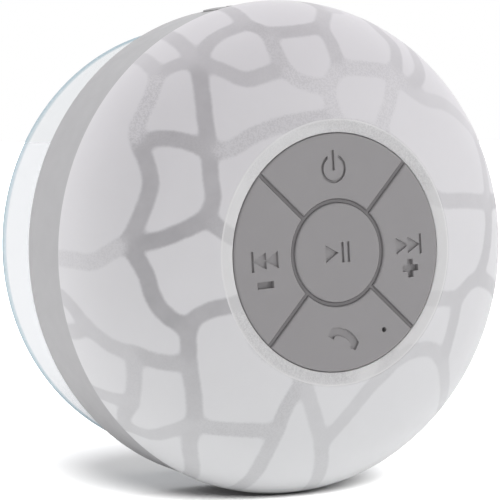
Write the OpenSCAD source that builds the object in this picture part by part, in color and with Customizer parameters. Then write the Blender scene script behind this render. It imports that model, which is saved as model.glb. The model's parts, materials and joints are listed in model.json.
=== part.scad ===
// Round wall-mounted shower speaker. Lengths are millimetres.
// Each node is drawn in a working frame whose Z is the distance out from the wall and whose Y is
// up. from_wall() turns that into the finished frame: front towards -Y, up +Z, origin at the
// centre of the suction cup's rim, on the wall.

/* [Shell] */
// Greatest radius of the body
body_r = 43; // [41:0.5:45]
// Radius of the rounded shoulder's arc
shoulder_arc = 17; // [16:0.5:18]
// Distance of the widest circle from the wall
shoulder_z = 30.5; // [30:0.1:31]
// Distance of the dome's theoretical tip from the wall
apex_z = 52.3; // [52:0.1:53]
// Wall thickness of both shells
wall = 2.2; // [2:0.1:2.5]
// Distance of the band's back edge from the wall
band_back_z = 17.3; // [16.5:0.1:17.5]
// Distance of the seam between the band and the dome from the wall
seam_z = 31.2; // [31:0.1:31.6]
// How far the band's back edge sits inside the greatest radius
band_back_inset = 0.7; // [0.5:0.1:0.9]
// How far the band's front edge sits inside the greatest radius
band_front_inset = 0.3; // [0.2:0.1:0.4]

/* [Suction cup] */
// Radius of the cup's rim
cup_r = 39.6; // [36:0.1:40]
// Thickness of the rim
cup_lip = 1; // [0.8:0.1:1.4]
// Width of the flat sealing face on the rim
cup_face_w = 2.6; // [2:0.1:4]
// Depth of the hollow behind the cup
cup_hollow = 5.2; // [4:0.1:5.6]
// Radius of the cup's neck
cup_neck_r = 10.5; // [10:0.1:11.5]
// Distance of the neck's end from the wall
cup_neck_z = 13.8; // [13.6:0.1:13.8]
// Radius of the plug's head, which the speaker pushes on to
plug_r = 7; // [6:0.1:7.5]
// Radius of the plug's foot, held in the cup's neck
plug_foot_r = 8; // [7:0.1:8]
// Radial clearance of the turning and sliding fits
running_fit = 0.05; // [0.03:0.01:0.08]

/* [Rear cover] */
// Thickness of the rear cover
cover_t = 2; // [1.8:0.1:2]
// Sound slots in the inner ring
inner_slots = 12; // [8:1:14]
// Sound slots in the outer ring
outer_slots = 24; // [12:1:26]
// Width of a sound slot
slot_w = 1.6; // [1.2:0.1:1.8]

/* [Keypad] */
// Radius of the keypad
keypad_r = 20; // [19:0.1:20]
// Distance of the key faces from the wall
key_face_z = 49.5; // [49.4:0.1:49.8]
// Thickness of a key
key_t = 2.15; // [2:0.05:2.2]
// Width of the grooves between keys
key_gap = 0.7; // [0.5:0.1:0.9]
// Radius of the round groove, at its middle
key_ring_r = 8.7; // [8:0.1:9.5]
// Distance of the four outer switches from the middle one
switch_reach = 14.1; // [13.5:0.1:14.5]
// Travel of a key
key_travel = 0.3; // [0.2:0.05:0.3]
// Depth of the engraved symbols
engraving = 0.4; // [0.2:0.1:0.6]
// Depth of the sunken plus and minus signs
sign_engraving = 0.8; // [0.4:0.1:1]
// Stroke width of the thin symbols
stroke = 0.45; // [0.4:0.05:0.6]
// Radius of the microphone's hole
mic_hole_r = 0.4; // [0.3:0.05:0.5]

/* [Charging port] */
// Distance of the port cover's middle from the wall
flap_z = 24.9; // [24.7:0.1:25.1]
// Height of the port cover along the speaker's depth
flap_h = 7.9; // [7.5:0.1:8]
// Length of the port cover around the body
flap_w = 10.8; // [10.4:0.1:11]
// Thickness of the port cover
flap_t = 1.3; // [1.2:0.05:1.4]
// Sideways place of the socket and of the port cover's middle
port_x = 2.2; // [2:0.1:2.4]

/* [Driver] */
// Radius of the driver's mounting flange
flange_r = 20; // [19.8:0.1:20]
// Radius of the cone's outer edge
cone_r = 12.9; // [12.5:0.1:13]
// Inner radius of the voice coil's former
coil_r = 6; // [5.8:0.1:6]
// Radius of the magnet
magnet_r = 12.5; // [12:0.1:13]
// Travel of the cone each way
cone_stroke = 0.8; // [0.4:0.1:0.8]

/* [Boards and battery] */
// Radius of the main board
board_r = 26; // [25.5:0.1:26]
// Thickness of the main board
board_t = 1.2; // [1:0.1:1.2]
// Length of the battery
battery_w = 30; // [26:0.5:30]
// Width of the battery
battery_h = 14.8; // [13:0.1:14.8]
// Thickness of the battery
battery_t = 6.5; // [5:0.1:6.5]

/* [Fasteners] */
// Radius of the small screws' shanks
screw_r = 0.8; // [0.7:0.05:0.9]
// Radius of the small screws' heads
screw_head_r = 1.7; // [1.5:0.05:1.75]

/* [Hidden] */
$fn = 96;
hair = 0.01;                      // overlap that joins two shapes of one piece
cutter = 1;                       // how far a cutting shape passes the surface it cuts
fine_fn = 48;                     // facets of the small round pieces
arc_fn = 256;                     // facets of the large arcs

// Dome: a shoulder arc that turns into a flatter crown arc
shoulder_r = body_r - shoulder_arc;
crown_rise = apex_z - shoulder_z;
crown_arc = (pow(shoulder_r, 2) + pow(crown_rise, 2) - pow(shoulder_arc, 2))
    / (2 * (crown_rise - shoulder_arc));
crown_z = apex_z - crown_arc;
crown_angle = atan(shoulder_r / (shoulder_z - crown_z));

// Band, with its baffle and the rear cover that closes it
band_back_r = body_r - band_back_inset;
band_front_r = body_r - band_front_inset;
band_edge = 0.5;                  // chamfer of the band's back edge
back_bore_r = band_back_r - wall;
front_bore_r = band_front_r - wall;
cover_z = band_back_z + 1;        // the cover is set into the band
cover_r = back_bore_r - 0.1;
cover_in_z = cover_z + cover_t;
gasket_t = 0.6;
baffle_z = cover_in_z + gasket_t;
baffle_t = 2;
baffle_front_z = baffle_z + baffle_t;
baffle_hole_r = flange_r - 2.8;
gasket_r = [33.2, 35];            // inner and outer radius of the rear gasket
cover_rim_w = 1.1;
cover_screw_r = 37.2;             // radius of the rear cover's screw circle
cover_screw_angles = [35, 145, 215, 325];
cover_screw_end_z = baffle_front_z + 2;
cover_head_t = 1.15;
inner_slot_r = [14.6, 20.6];      // where the slots of each ring start and end
outer_slot_r = [23.4, 31.6];
mesh_r = [13.6, 32.8];
mesh_t = 0.3;

// Suction cup and plug
neck_pocket_z = 8.55;
plug_foot_z = [8.6, 10.2];
plug_stem_r = plug_foot_r - 3;
plug_head_z = cup_neck_z + 0.1;
plug_end_z = cover_in_z - 0.7;
socket_z = cup_neck_z + 0.2;      // mouth of the rear cover's socket
socket_floor_z = plug_end_z + 0.3;
hub_r = [plug_r + 3.6, plug_r + 5];
hub_inner_r = plug_r + 2.3;
hub_inner_z = socket_floor_z + 1.6;
cup_neck_t = 0.9;                 // straight end of the neck
cup_neck_slope = 36;              // slope of the cup's flare where it meets the neck

// The cup's flare is one arc from the rim to the neck, steeper at the neck
cup_flare_end = [cup_neck_r, cup_neck_z - cup_neck_t];
cup_flare_start = [cup_r, cup_lip];
cup_chord = cup_flare_end - cup_flare_start;
cup_chord_slope = atan2(cup_chord[1], -cup_chord[0]);
cup_flare_half = cup_neck_slope - cup_chord_slope;
cup_flare_r = norm(cup_chord) / (2 * sin(cup_flare_half));
cup_flare_centre = cup_flare_end + cup_flare_r * [sin(cup_neck_slope), cos(cup_neck_slope)];
cup_hollow_r = cup_r - cup_face_w;
cup_hollow_arc = (pow(cup_hollow_r, 2) + pow(cup_hollow, 2)) / (2 * cup_hollow);

// Angles around the body's axis
diagonals = [for (i = [0:3]) 45 + 90 * i];
retainer_angles = [for (i = [0:3]) 22.5 + 90 * i];
board_screw_angles = [for (i = [0:3]) 67.5 + 90 * i];

// Shell joint and long screws
tongue_r = [38.4, front_bore_r - 0.2];
tongue_z = seam_z - 2.9;
seal_section_r = 0.55;
seal_r = front_bore_r - 0.6;
seal_z = seam_z - 1.3;
shell_screw_circle = 30;
shell_screw_r = 1;
shell_head_r = 2;
shell_head_t = 1.7;
sleeve_r = 3.6;
sleeve_z = baffle_front_z + 3.1;
boss_r = 2.6;
boss_land_r = [shell_screw_circle - boss_r - 0.2, shell_screw_circle + boss_r + 0.2];
boss_land_z = 43.4;               // flat underside of the ring that carries the bosses
shell_seat_z = sleeve_z - 1.6;
shell_screw_end_z = shell_seat_z + 9.6;

// Keypad stack, from the face backwards
ring_fit = 0.2;                   // gap between the keys and the bezel ring
bezel_r = [keypad_r + ring_fit, keypad_r + 2.4];
bezel_z = [47.6, 49.45];
bezel_edge = 0.3;
seat_r = bezel_r[1] + 0.05;
opening_r = keypad_r + 0.3;
shelf_z = 46.6;
shelf_r = keypad_r + 5.9;
web_z = [46, 46.9];
web_flange_r = keypad_r + 2.6;
rib_w = key_gap - 0.3;
rib_z = key_face_z - 0.8;
key_back_z = key_face_z - key_t;
key_ring_out_r = key_ring_r + key_gap / 2;
key_ring_in_r = key_ring_r - key_gap / 2;
retainer_t = 1.2;
retainer_z = web_z[0] - retainer_t;
retainer_r = keypad_r + 5.8;
retainer_screw_circle = 24.6;
retainer_boss_r = 1.9;
retainer_screw_end_z = shelf_z + 0.9;
board_front_z = retainer_z - 4;
board_z = board_front_z - board_t;
board_post_r = 2;
board_screw_circle = 22;
board_screw_end_z = retainer_z - 1;
switch_w = 6;
switch_t = 3.4;
plunger_r = 1.7;
plunger_z = [board_front_z + 2.6, board_front_z + 4.25];
post_r = 1.5;
post_z = plunger_z[1] + 0.05;
mic_place = [8.3, -13.9];
mic_r = 2;
mic_t = 1.5;
mic_tube_r = 1.6;
key_places = [[0, 0], [0, switch_reach], [switch_reach, 0], [0, -switch_reach], [-switch_reach, 0]];

// Charging port: an opening in the band, under a cover that swings on the end of its strap
port_recess_r = band_back_r - 1;
flap_r = [port_recess_r + 0.1, port_recess_r + 0.1 + flap_t];
recess_x = [port_x - 10.4, port_x + 6.3];
recess_h = flap_h + 0.4;
flap_corner = 1.4;
port_opening = [9, 3.6];
plug_nose = [8.2, 2.8];
plug_nose_r = port_recess_r - 1.7;
socket_z_mid = baffle_front_z + 2.4;
pivot_x = port_x - 6.15;
pivot_r = 0.55;
pivot_y = sqrt(pow(flap_r[0] + 0.6, 2) - pow(pivot_x, 2));
strap_w = 4;
strap_t = pivot_r * 1.5;
strap_y = pivot_y - pivot_r * 0.8;
strap_overlap = 0.4;              // how far the strap runs into the cover and the anchor
anchor_x = [port_x - 10.1, port_x - 6.95];
anchor_pin_angle = 8.6;           // around the body from its top
anchor_pin_r = 1.2;
pad_z = [baffle_front_z - hair, seam_z - 3.2];
pad_y = 37.6;
usb_board_z = baffle_front_z + 0.3;
usb_board_t = 0.8;
usb_board_y = [27, 38.2];
usb_board_w = 12;
usb_socket_size = [7.5, 5.6, 2.6];
usb_screw_places = [[port_x - 4.2, 29.4], [port_x + 4.2, 29.4]];
usb_post_r = 1.8;

// Driver, facing the wall
driver_gasket_t = 0.5;
flange_z = baffle_front_z + driver_gasket_t;
flange_t = 0.8;
frame_in_r = flange_r - 4.4;
ear_r = 2.4;
ear_circle = flange_r + 1.4;
baffle_screw_end_z = baffle_z + 0.6;
frame_floor_z = flange_z + 7;
plate_t = 1.6;
magnet_z = frame_floor_z + 0.8 + plate_t;
magnet_t = 3.6;
yoke_z = magnet_z + magnet_t;
spider_z = flange_z + 5.6;
spider_t = 0.3;
spider_wave = 0.35;
spider_r = [coil_r + 0.35, flange_r - 5.1];
spider_waves = 4;
ledge_z = spider_z + spider_t + spider_wave + 0.02;
surround_foot_t = 0.3;
surround_roll = cone_stroke + 0.6;
surround_r = cone_r + surround_roll - 0.1;
former_t = 0.3;
former_z = [flange_z + 3.7, flange_z + 10.2];
cap_sag = 1.8;
cap_base_r = coil_r + former_t;
cap_arc = (pow(cap_base_r, 2) + pow(cap_sag, 2)) / (2 * cap_sag);
cap_t = 0.4;

// Battery and wiring
battery_y = -flange_r - 0.2 - battery_h / 2;
battery_pad_t = 0.4;
battery_z = baffle_front_z + battery_pad_t;
battery_edge = 1.6;
lead_w = 0.9;
lead_pitch = 1.4;
pilot_r = screw_r + 0.02;
screw_hole_r = screw_r + 0.3;
screw_head_t = 1.2;

// ---- Shared shapes ----

module from_wall() {
    rotate([90, 0, 0])
        children();
}

module disc(r, z) {
    translate([0, 0, z[0]])
        cylinder(r = r, h = z[1] - z[0]);
}

module ring(r, z) {
    difference() {
        disc(r[1], z);
        disc(r[0], [z[0] - cutter, z[1] + cutter]);
    }
}

module at_circle(radius, angles) {
    for (a = angles)
        rotate([0, 0, a])
            translate([radius, 0, 0])
                children();
}

module at_places(places) {
    for (p = places)
        translate([p[0], p[1], 0])
            children();
}

// A pan-head screw along Z, with its head against seat and its tip at tip
module screw(shank, head, head_t, seat, tip) {
    driver_slot = [head * 1.2, head * 0.25, head_t * 0.5];
    difference() {
        disc(head, [seat - head_t, seat]);
        for (a = [0, 90])
            rotate([0, 0, a])
                translate([0, 0, seat - head_t])
                    cube([driver_slot[0], driver_slot[1], 2 * driver_slot[2]], center = true);
    }
    translate([0, 0, seat - hair])
        cylinder(r = shank, h = tip - seat - shank + hair);
    translate([0, 0, tip - shank - hair])
        cylinder(r1 = shank, r2 = shank * 0.4, h = shank + hair);
}

module rounded_rect(size, corner) {
    square([size[0] - 2 * corner, size[1]], center = true);
    square([size[0], size[1] - 2 * corner], center = true);
    for (x = [-1, 1], y = [-1, 1])
        translate([x * (size[0] / 2 - corner), y * (size[1] / 2 - corner)])
            circle(r = corner, $fn = fine_fn);
}

// A rounded rectangle swept along Y, for cuts and plugs through the top of the band
module along_y(x, z, size, corner, y) {
    translate([x, y[1], z])
        rotate([90, 0, 0])
            linear_extrude(y[1] - y[0])
                rounded_rect(size, corner);
}

module rounded_block(size, corner) {
    linear_extrude(size[2])
        rounded_rect([size[0], size[1]], corner);
}

function unit(v) = v / norm(v);
function left_of(v) = [-v[1], v[0]];

// Sideways step at point i that keeps a bent strip at one width
function strip_normal(points, i) =
    let (
        last = len(points) - 1,
        before = left_of(unit(i > 0 ? points[i] - points[i - 1] : points[1] - points[0])),
        after = left_of(unit(i < last ? points[i + 1] - points[i] : points[i] - points[i - 1])),
        middle = unit(before + after)
    )
    middle / (middle * before);

// Two square leads side by side, bent along points in a plane and set apart across it
module lead_pair(points) {
    last = len(points) - 1;
    one_side = [for (i = [0:last]) points[i] + lead_w / 2 * strip_normal(points, i)];
    other_side = [for (i = [last:-1:0]) points[i] - lead_w / 2 * strip_normal(points, i)];
    for (side = [-0.5, 0.5])
        translate([0, 0, side * lead_pitch - lead_w / 2])
            linear_extrude(lead_w)
                polygon(concat(one_side, other_side));
}

// ---- Suction cup ----

module cup_profile() {
    difference() {
        polygon([[0, 0], [cup_r, 0], [cup_r, cup_neck_z], [0, cup_neck_z]]);
        translate(cup_flare_centre)
            circle(r = cup_flare_r, $fn = arc_fn);
        translate([cup_neck_r, cup_flare_end[1]])
            square([cup_r, cup_neck_z]);
        translate([0, cup_hollow - cup_hollow_arc])
            circle(r = cup_hollow_arc, $fn = arc_fn);
        translate([0, neck_pocket_z])
            square([plug_foot_r + running_fit, plug_foot_z[1] + running_fit - neck_pocket_z]);
        translate([0, plug_foot_z[0]])
            square([plug_stem_r + running_fit, cup_neck_z]);
    }
}

module suction_cup() {
    color("aliceblue", 0.5)
        from_wall()
            rotate_extrude()
                cup_profile();
}

// The plug turns in the cup's neck, and its head is the stub that the speaker pushes on to
module cup_plug() {
    lead_in = 0.8;
    flute_r = 0.7;
    color("whitesmoke")
        from_wall()
            difference() {
                union() {
                    disc(plug_foot_r, plug_foot_z);
                    disc(plug_stem_r, [plug_foot_z[1] - hair, plug_head_z + hair]);
                    disc(plug_r, [plug_head_z, plug_end_z - lead_in]);
                    translate([0, 0, plug_end_z - lead_in - hair])
                        cylinder(r1 = plug_r, r2 = plug_r - lead_in, h = lead_in + hair);
                }
                disc(plug_stem_r - 2, [plug_head_z, plug_end_z + cutter]);
                at_circle(plug_r + flute_r / 2, [for (i = [0:5]) 60 * i])
                    disc(flute_r, [plug_head_z + 1, plug_end_z + cutter], $fn = fine_fn);
            }
}

// ---- Rear cover ----

module sound_slot(reach) {
    translate([reach[0], -slot_w / 2, cover_z - cutter])
        cube([reach[1] - reach[0], slot_w, cover_t + 2 * cutter]);
    for (x = reach)
        translate([x, 0, cover_z - cutter])
            cylinder(r = slot_w / 2, h = cover_t + 2 * cutter, $fn = fine_fn);
}

module rear_cover() {
    color("darkgray")
        from_wall()
            difference() {
                union() {
                    disc(cover_r, [cover_z, cover_in_z]);
                    ring([cover_r - cover_rim_w, cover_r], [cover_in_z - hair, baffle_z]);
                    translate([0, 0, socket_z])
                        cylinder(r1 = hub_r[0], r2 = hub_r[1], h = cover_z - socket_z + hair);
                    disc(hub_inner_r, [cover_in_z - hair, hub_inner_z]);
                }
                disc(plug_r + running_fit, [socket_z - cutter, socket_floor_z]);
                for (i = [1:inner_slots])
                    rotate([0, 0, i * 360 / inner_slots])
                        sound_slot(inner_slot_r);
                for (i = [1:outer_slots])
                    rotate([0, 0, (i + 0.5) * 360 / outer_slots])
                        sound_slot(outer_slot_r);
                at_circle(cover_screw_r, cover_screw_angles) {
                    disc(screw_hole_r, [cover_z, baffle_z + cutter], $fn = fine_fn);
                    disc(screw_head_r + 0.2, [cover_z - cutter, cover_z + cover_head_t],
                         $fn = fine_fn);
                }
            }
}

module rear_cover_gasket() {
    color("dimgray")
        from_wall()
            ring(gasket_r, [cover_in_z, baffle_z]);
}

module rear_cover_screws() {
    color("silver")
        from_wall()
            at_circle(cover_screw_r, cover_screw_angles)
                screw(screw_r, screw_head_r, cover_head_t, cover_z + cover_head_t,
                      cover_screw_end_z - 0.4, $fn = fine_fn);
}

module speaker_mesh() {
    color("dimgray")
        from_wall()
            ring(mesh_r, [cover_in_z, cover_in_z + mesh_t]);
}

// ---- Rear shell: the grey band with its baffle ----

module band_profile() {
    polygon([
        [band_back_r - band_edge, band_back_z],
        [band_back_r, band_back_z + band_edge],
        [band_front_r, seam_z],
        [front_bore_r, seam_z],
        [front_bore_r, baffle_front_z],
        [baffle_hole_r, baffle_front_z],
        [baffle_hole_r, baffle_z],
        [back_bore_r, baffle_z],
        [back_bore_r, band_back_z]
    ]);
}

module port_pad() {
    intersection() {
        translate([recess_x[0] - 1, pad_y, pad_z[0]])
            cube([recess_x[1] - recess_x[0] + 3.5, wall * 2, pad_z[1] - pad_z[0]]);
        disc(front_bore_r + wall / 2, pad_z);
    }
}

module port_cuts() {
    recess_mid = (recess_x[0] + recess_x[1]) / 2;
    intersection() {
        ring([port_recess_r, body_r + cutter], [band_back_z, seam_z]);
        along_y(recess_mid, flap_z, [recess_x[1] - recess_x[0], recess_h], flap_corner,
                [pad_y, body_r + cutter]);
    }
    along_y(port_x, socket_z_mid, port_opening, 1, [pad_y - cutter, body_r + cutter]);
    rotate([0, 0, anchor_pin_angle])
        translate([0, body_r, flap_z])
            rotate([90, 0, 0])
                cylinder(r = anchor_pin_r + running_fit, h = body_r - pad_y + cutter,
                         $fn = fine_fn);
}

module rear_shell() {
    color("darkgray")
        from_wall()
            difference() {
                union() {
                    rotate_extrude()
                        band_profile();
                    port_pad();
                    at_circle(shell_screw_circle, diagonals)
                        disc(sleeve_r, [baffle_z, sleeve_z], $fn = fine_fn);
                    at_circle(cover_screw_r, cover_screw_angles)
                        disc(retainer_boss_r, [baffle_front_z - hair, cover_screw_end_z],
                             $fn = fine_fn);
                    at_circle(ear_circle, diagonals)
                        disc(ear_r - 0.2, [baffle_front_z - hair, flange_z], $fn = fine_fn);
                    at_places(usb_screw_places)
                        disc(usb_post_r, [baffle_front_z - hair, usb_board_z], $fn = fine_fn);
                }
                port_cuts();
                at_circle(shell_screw_circle, diagonals) {
                    disc(shell_head_r + 0.3, [baffle_z - cutter, shell_seat_z], $fn = fine_fn);
                    disc(shell_screw_r + 0.3, [baffle_z, sleeve_z + cutter], $fn = fine_fn);
                }
                at_circle(cover_screw_r, cover_screw_angles)
                    disc(pilot_r, [baffle_z - cutter, cover_screw_end_z - 0.3], $fn = fine_fn);
                at_circle(ear_circle, diagonals)
                    disc(pilot_r, [baffle_z + 0.5, flange_z + cutter], $fn = fine_fn);
                at_places(usb_screw_places)
                    disc(pilot_r, [baffle_z + 0.5, usb_board_z + cutter], $fn = fine_fn);
            }
}

module shell_seal() {
    color("dimgray")
        from_wall()
            rotate_extrude()
                translate([seal_r, seal_z])
                    circle(r = seal_section_r, $fn = fine_fn);
}

module shell_screws() {
    color("silver")
        from_wall()
            at_circle(shell_screw_circle, diagonals)
                screw(shell_screw_r, shell_head_r, shell_head_t, shell_seat_z,
                      shell_screw_end_z, $fn = fine_fn);
}

// ---- Front shell: the printed dome ----

module dome_profile(inset) {
    reach = apex_z + body_r;
    intersection() {
        union() {
            translate([shoulder_r, shoulder_z])
                circle(r = shoulder_arc - inset, $fn = arc_fn);
            intersection() {
                translate([0, crown_z])
                    circle(r = crown_arc - inset, $fn = arc_fn);
                polygon([
                    [0, crown_z],
                    [2 * reach * sin(crown_angle), crown_z + 2 * reach * cos(crown_angle)],
                    [0, crown_z + 2 * reach]
                ]);
            }
        }
        translate([0, seam_z])
            square([body_r + cutter, apex_z]);
    }
}

module front_shell() {
    color("gainsboro")
        from_wall()
            difference() {
                union() {
                    rotate_extrude() {
                        difference() {
                            dome_profile(0);
                            dome_profile(wall);
                        }
                        intersection() {
                            dome_profile(wall / 2);
                            translate([boss_land_r[0], boss_land_z])
                                square([boss_land_r[1] - boss_land_r[0], wall * 2]);
                        }
                    }
                    ring(tongue_r, [tongue_z, seam_z + hair]);
                    ring([tongue_r[0], body_r - wall + 0.4], [seam_z, seam_z + 1.5]);
                    ring([opening_r - 0.1, shelf_r], [shelf_z, bezel_z[0]]);
                    at_circle(shell_screw_circle, diagonals)
                        disc(boss_r, [sleeve_z, boss_land_z + hair], $fn = fine_fn);
                    at_circle(retainer_screw_circle, retainer_angles)
                        disc(retainer_boss_r, [web_z[0], shelf_z + hair], $fn = fine_fn);
                }
                disc(opening_r, [web_z[0], apex_z]);
                disc(seat_r, [bezel_z[0], apex_z]);
                ring([seal_r - seal_section_r - 0.05, body_r],
                     [seal_z - seal_section_r - 0.1, seal_z + seal_section_r + 0.1]);
                at_circle(shell_screw_circle, diagonals)
                    disc(shell_screw_r + 0.02, [sleeve_z - cutter, shell_screw_end_z + 0.6],
                         $fn = fine_fn);
                at_circle(retainer_screw_circle, retainer_angles)
                    disc(pilot_r, [web_z[0] - cutter, retainer_screw_end_z + 0.1],
                         $fn = fine_fn);
            }
}

module bezel_ring() {
    color("white", 0.8)
        from_wall()
            rotate_extrude()
                polygon([
                    [bezel_r[0], bezel_z[0]],
                    [bezel_r[1], bezel_z[0]],
                    [bezel_r[1], bezel_z[1] - bezel_edge],
                    [bezel_r[1] - bezel_edge, bezel_z[1]],
                    [bezel_r[0] + bezel_edge, bezel_z[1]],
                    [bezel_r[0], bezel_z[1] - bezel_edge]
                ]);
}

// ---- Keypad ----

// One quarter of the keypad outside the round groove, centred on +X
module quarter_outline() {
    corner = key_gap / sqrt(2);
    difference() {
        intersection() {
            circle(r = keypad_r);
            polygon([[corner, 0], [corner + keypad_r, -keypad_r], [corner + keypad_r, keypad_r]]);
        }
        circle(r = key_ring_out_r);
    }
}

module bar(size) {
    square(size, center = true);
}

module power_symbol() {
    symbol_r = 2.4;
    gap_half = 1.05;
    difference() {
        circle(r = symbol_r, $fn = fine_fn);
        circle(r = symbol_r - stroke, $fn = fine_fn);
        translate([-gap_half, symbol_r / 2])
            square([2 * gap_half, symbol_r]);
    }
    translate([0, symbol_r * 0.58])
        bar([stroke, symbol_r * 1.42]);
}

module pointer(length, height) {
    polygon([[0, height / 2], [0, -height / 2], [length, 0]]);
}

module play_pause_symbol() {
    bar_h = 3.4;
    translate([-2.4, 0])
        pointer(2.4, bar_h * 0.85);
    for (x = [0.9, 2.05])
        translate([x, 0])
            bar([stroke, bar_h]);
}

// Two pointers against a bar, pointing to +X
module skip_symbol() {
    bar_h = 3.4;
    pointer_w = 2.45;
    overlap = 0.15;
    for (x = [-pointer_w, -overlap])
        translate([x, 0])
            pointer(pointer_w, bar_h * 0.83);
    translate([pointer_w, 0])
        bar([stroke, bar_h]);
}

module minus_symbol() {
    bar([3.1, 1.1]);
}

module plus_symbol() {
    for (a = [0, 90])
        rotate([0, 0, a])
            bar([3.1, 1.05]);
}

// A telephone handset, seen side on as a flat arch with two ends
module handset_symbol() {
    half_w = 3;
    arch_h = 2.45;
    arch_r = 5.2;
    inside_half_w = 1.8;
    inside_h = 1.13;
    inside_r = 3.15;
    rotate([0, 0, -29])
        difference() {
            intersection() {
                translate([0, arch_h - arch_r])
                    circle(r = arch_r, $fn = fine_fn);
                translate([-half_w, 0])
                    square([2 * half_w, arch_r]);
            }
            intersection() {
                translate([0, inside_h - inside_r])
                    circle(r = inside_r, $fn = fine_fn);
                translate([-inside_half_w, -arch_r])
                    square([2 * inside_half_w, 2 * arch_r]);
            }
        }
}

// A key's post reaches back through the web to its switch
module key_post(place) {
    translate([place[0], place[1], post_z])
        cylinder(r = post_r, h = key_back_z - post_z + hair, $fn = fine_fn);
}

module engraved(depth) {
    translate([0, 0, key_face_z - depth])
        linear_extrude(depth + cutter)
            children();
}

// The first child is the key's thin symbol and the second, if any, its sunken sign
module outer_key(index, turn) {
    color("gray")
        from_wall() {
            difference() {
                translate([0, 0, key_back_z])
                    linear_extrude(key_t)
                        rotate([0, 0, turn])
                            quarter_outline();
                engraved(engraving)
                    children(0);
                if ($children > 1)
                    engraved(sign_engraving)
                        children(1);
            }
            key_post(key_places[index]);
        }
}

module key_play() {
    color("gray")
        from_wall() {
            difference() {
                disc(key_ring_in_r, [key_back_z, key_face_z]);
                engraved(engraving)
                    play_pause_symbol();
            }
            key_post(key_places[0]);
        }
}

module key_power() {
    outer_key(1, 90)
        translate(key_places[1])
            power_symbol();
}

module key_next() {
    outer_key(2, 0) {
        translate(key_places[2])
            skip_symbol();
        translate([switch_reach + 0.2, -4])
            plus_symbol();
    }
}

module key_phone() {
    difference() {
        outer_key(3, -90)
            translate([-0.25, -15.3])
                handset_symbol();
        from_wall()
            at_places([mic_place])
                disc(mic_hole_r, [key_back_z - cutter, key_face_z + cutter], $fn = fine_fn);
    }
}

module key_previous() {
    outer_key(4, 180) {
        translate(key_places[4])
            mirror([1, 0, 0])
                skip_symbol();
        translate([-switch_reach - 0.2, -4])
            minus_symbol();
    }
}

module keypad_web() {
    web_r = keypad_r - 0.1;
    color("dimgray")
        from_wall()
            difference() {
                union() {
                    disc(web_r, web_z);
                    disc(web_flange_r, [web_z[0], shelf_z]);
                    ring([key_ring_r - rib_w / 2, key_ring_r + rib_w / 2],
                         [web_z[1] - hair, rib_z]);
                    for (a = diagonals)
                        rotate([0, 0, a])
                            translate([key_ring_r, -rib_w / 2, web_z[1] - hair])
                                cube([web_r - key_ring_r - 0.1, rib_w, rib_z - web_z[1]]);
                    at_places([mic_place])
                        disc(mic_tube_r, [board_front_z + mic_t + 0.05, web_z[1]],
                             $fn = fine_fn);
                }
                at_places(key_places)
                    disc(post_r + 0.2, [web_z[0] - cutter, rib_z + cutter], $fn = fine_fn);
                at_places([mic_place])
                    disc(mic_hole_r + 0.2, [board_front_z, rib_z], $fn = fine_fn);
            }
}

module keypad_retainer() {
    color("white")
        from_wall()
            difference() {
                union() {
                    disc(retainer_r, [retainer_z, web_z[0]]);
                    at_circle(board_screw_circle, board_screw_angles)
                        disc(board_post_r, [board_front_z, retainer_z + hair], $fn = fine_fn);
                }
                at_places(key_places)
                    disc(plunger_r + 0.3, [retainer_z - cutter, web_z[0] + cutter],
                         $fn = fine_fn);
                at_places([mic_place])
                    disc(mic_tube_r + 0.2, [retainer_z - cutter, web_z[0] + cutter],
                         $fn = fine_fn);
                at_circle(retainer_screw_circle, retainer_angles)
                    disc(screw_hole_r, [retainer_z - cutter, web_z[0] + cutter],
                         $fn = fine_fn);
                at_circle(board_screw_circle, board_screw_angles)
                    disc(pilot_r, [board_front_z - cutter, board_screw_end_z + 0.1],
                         $fn = fine_fn);
            }
}

module retainer_screws() {
    color("silver")
        from_wall()
            at_circle(retainer_screw_circle, retainer_angles)
                screw(screw_r, screw_head_r, screw_head_t, retainer_z, retainer_screw_end_z,
                      $fn = fine_fn);
}

// ---- Main board ----

module main_board() {
    color("seagreen")
        from_wall()
            difference() {
                disc(board_r, [board_z, board_front_z]);
                at_circle(board_screw_circle, board_screw_angles)
                    disc(screw_hole_r, [board_z - cutter, board_front_z + cutter],
                         $fn = fine_fn);
            }
}

module board_screws() {
    color("silver")
        from_wall()
            at_circle(board_screw_circle, board_screw_angles)
                screw(screw_r, screw_head_r, screw_head_t, board_z, board_screw_end_z,
                      $fn = fine_fn);
}

module switch_bodies() {
    color("darkslategray")
        from_wall()
            at_places(key_places)
                translate([0, 0, board_front_z])
                    difference() {
                        rounded_block([switch_w, switch_w, switch_t], 0.5);
                        translate([0, 0, plunger_z[0] - board_front_z - key_travel - 0.2])
                            cylinder(r = plunger_r + running_fit, h = switch_t, $fn = fine_fn);
                    }
}

module plunger(index) {
    color("white")
        from_wall()
            at_places([key_places[index]])
                disc(plunger_r, plunger_z, $fn = fine_fn);
}

module plunger_play() {
    plunger(0);
}

module plunger_power() {
    plunger(1);
}

module plunger_next() {
    plunger(2);
}

module plunger_phone() {
    plunger(3);
}

module plunger_previous() {
    plunger(4);
}

module microphone() {
    color("silver")
        from_wall()
            at_places([mic_place])
                difference() {
                    disc(mic_r, [board_front_z, board_front_z + mic_t], $fn = fine_fn);
                    disc(mic_hole_r, [board_front_z + mic_t / 2, board_front_z + 2 * mic_t],
                         $fn = fine_fn);
                }
}

module status_led() {
    color("lightblue")
        from_wall()
            translate([0, board_r - 1.8, board_front_z]) {
                rounded_block([2, 1.2, 0.5], 0.2);
                translate([0, 0, 0.5 - hair])
                    cylinder(r1 = 0.55, r2 = 0.35, h = 0.4, $fn = fine_fn);
            }
}

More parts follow.
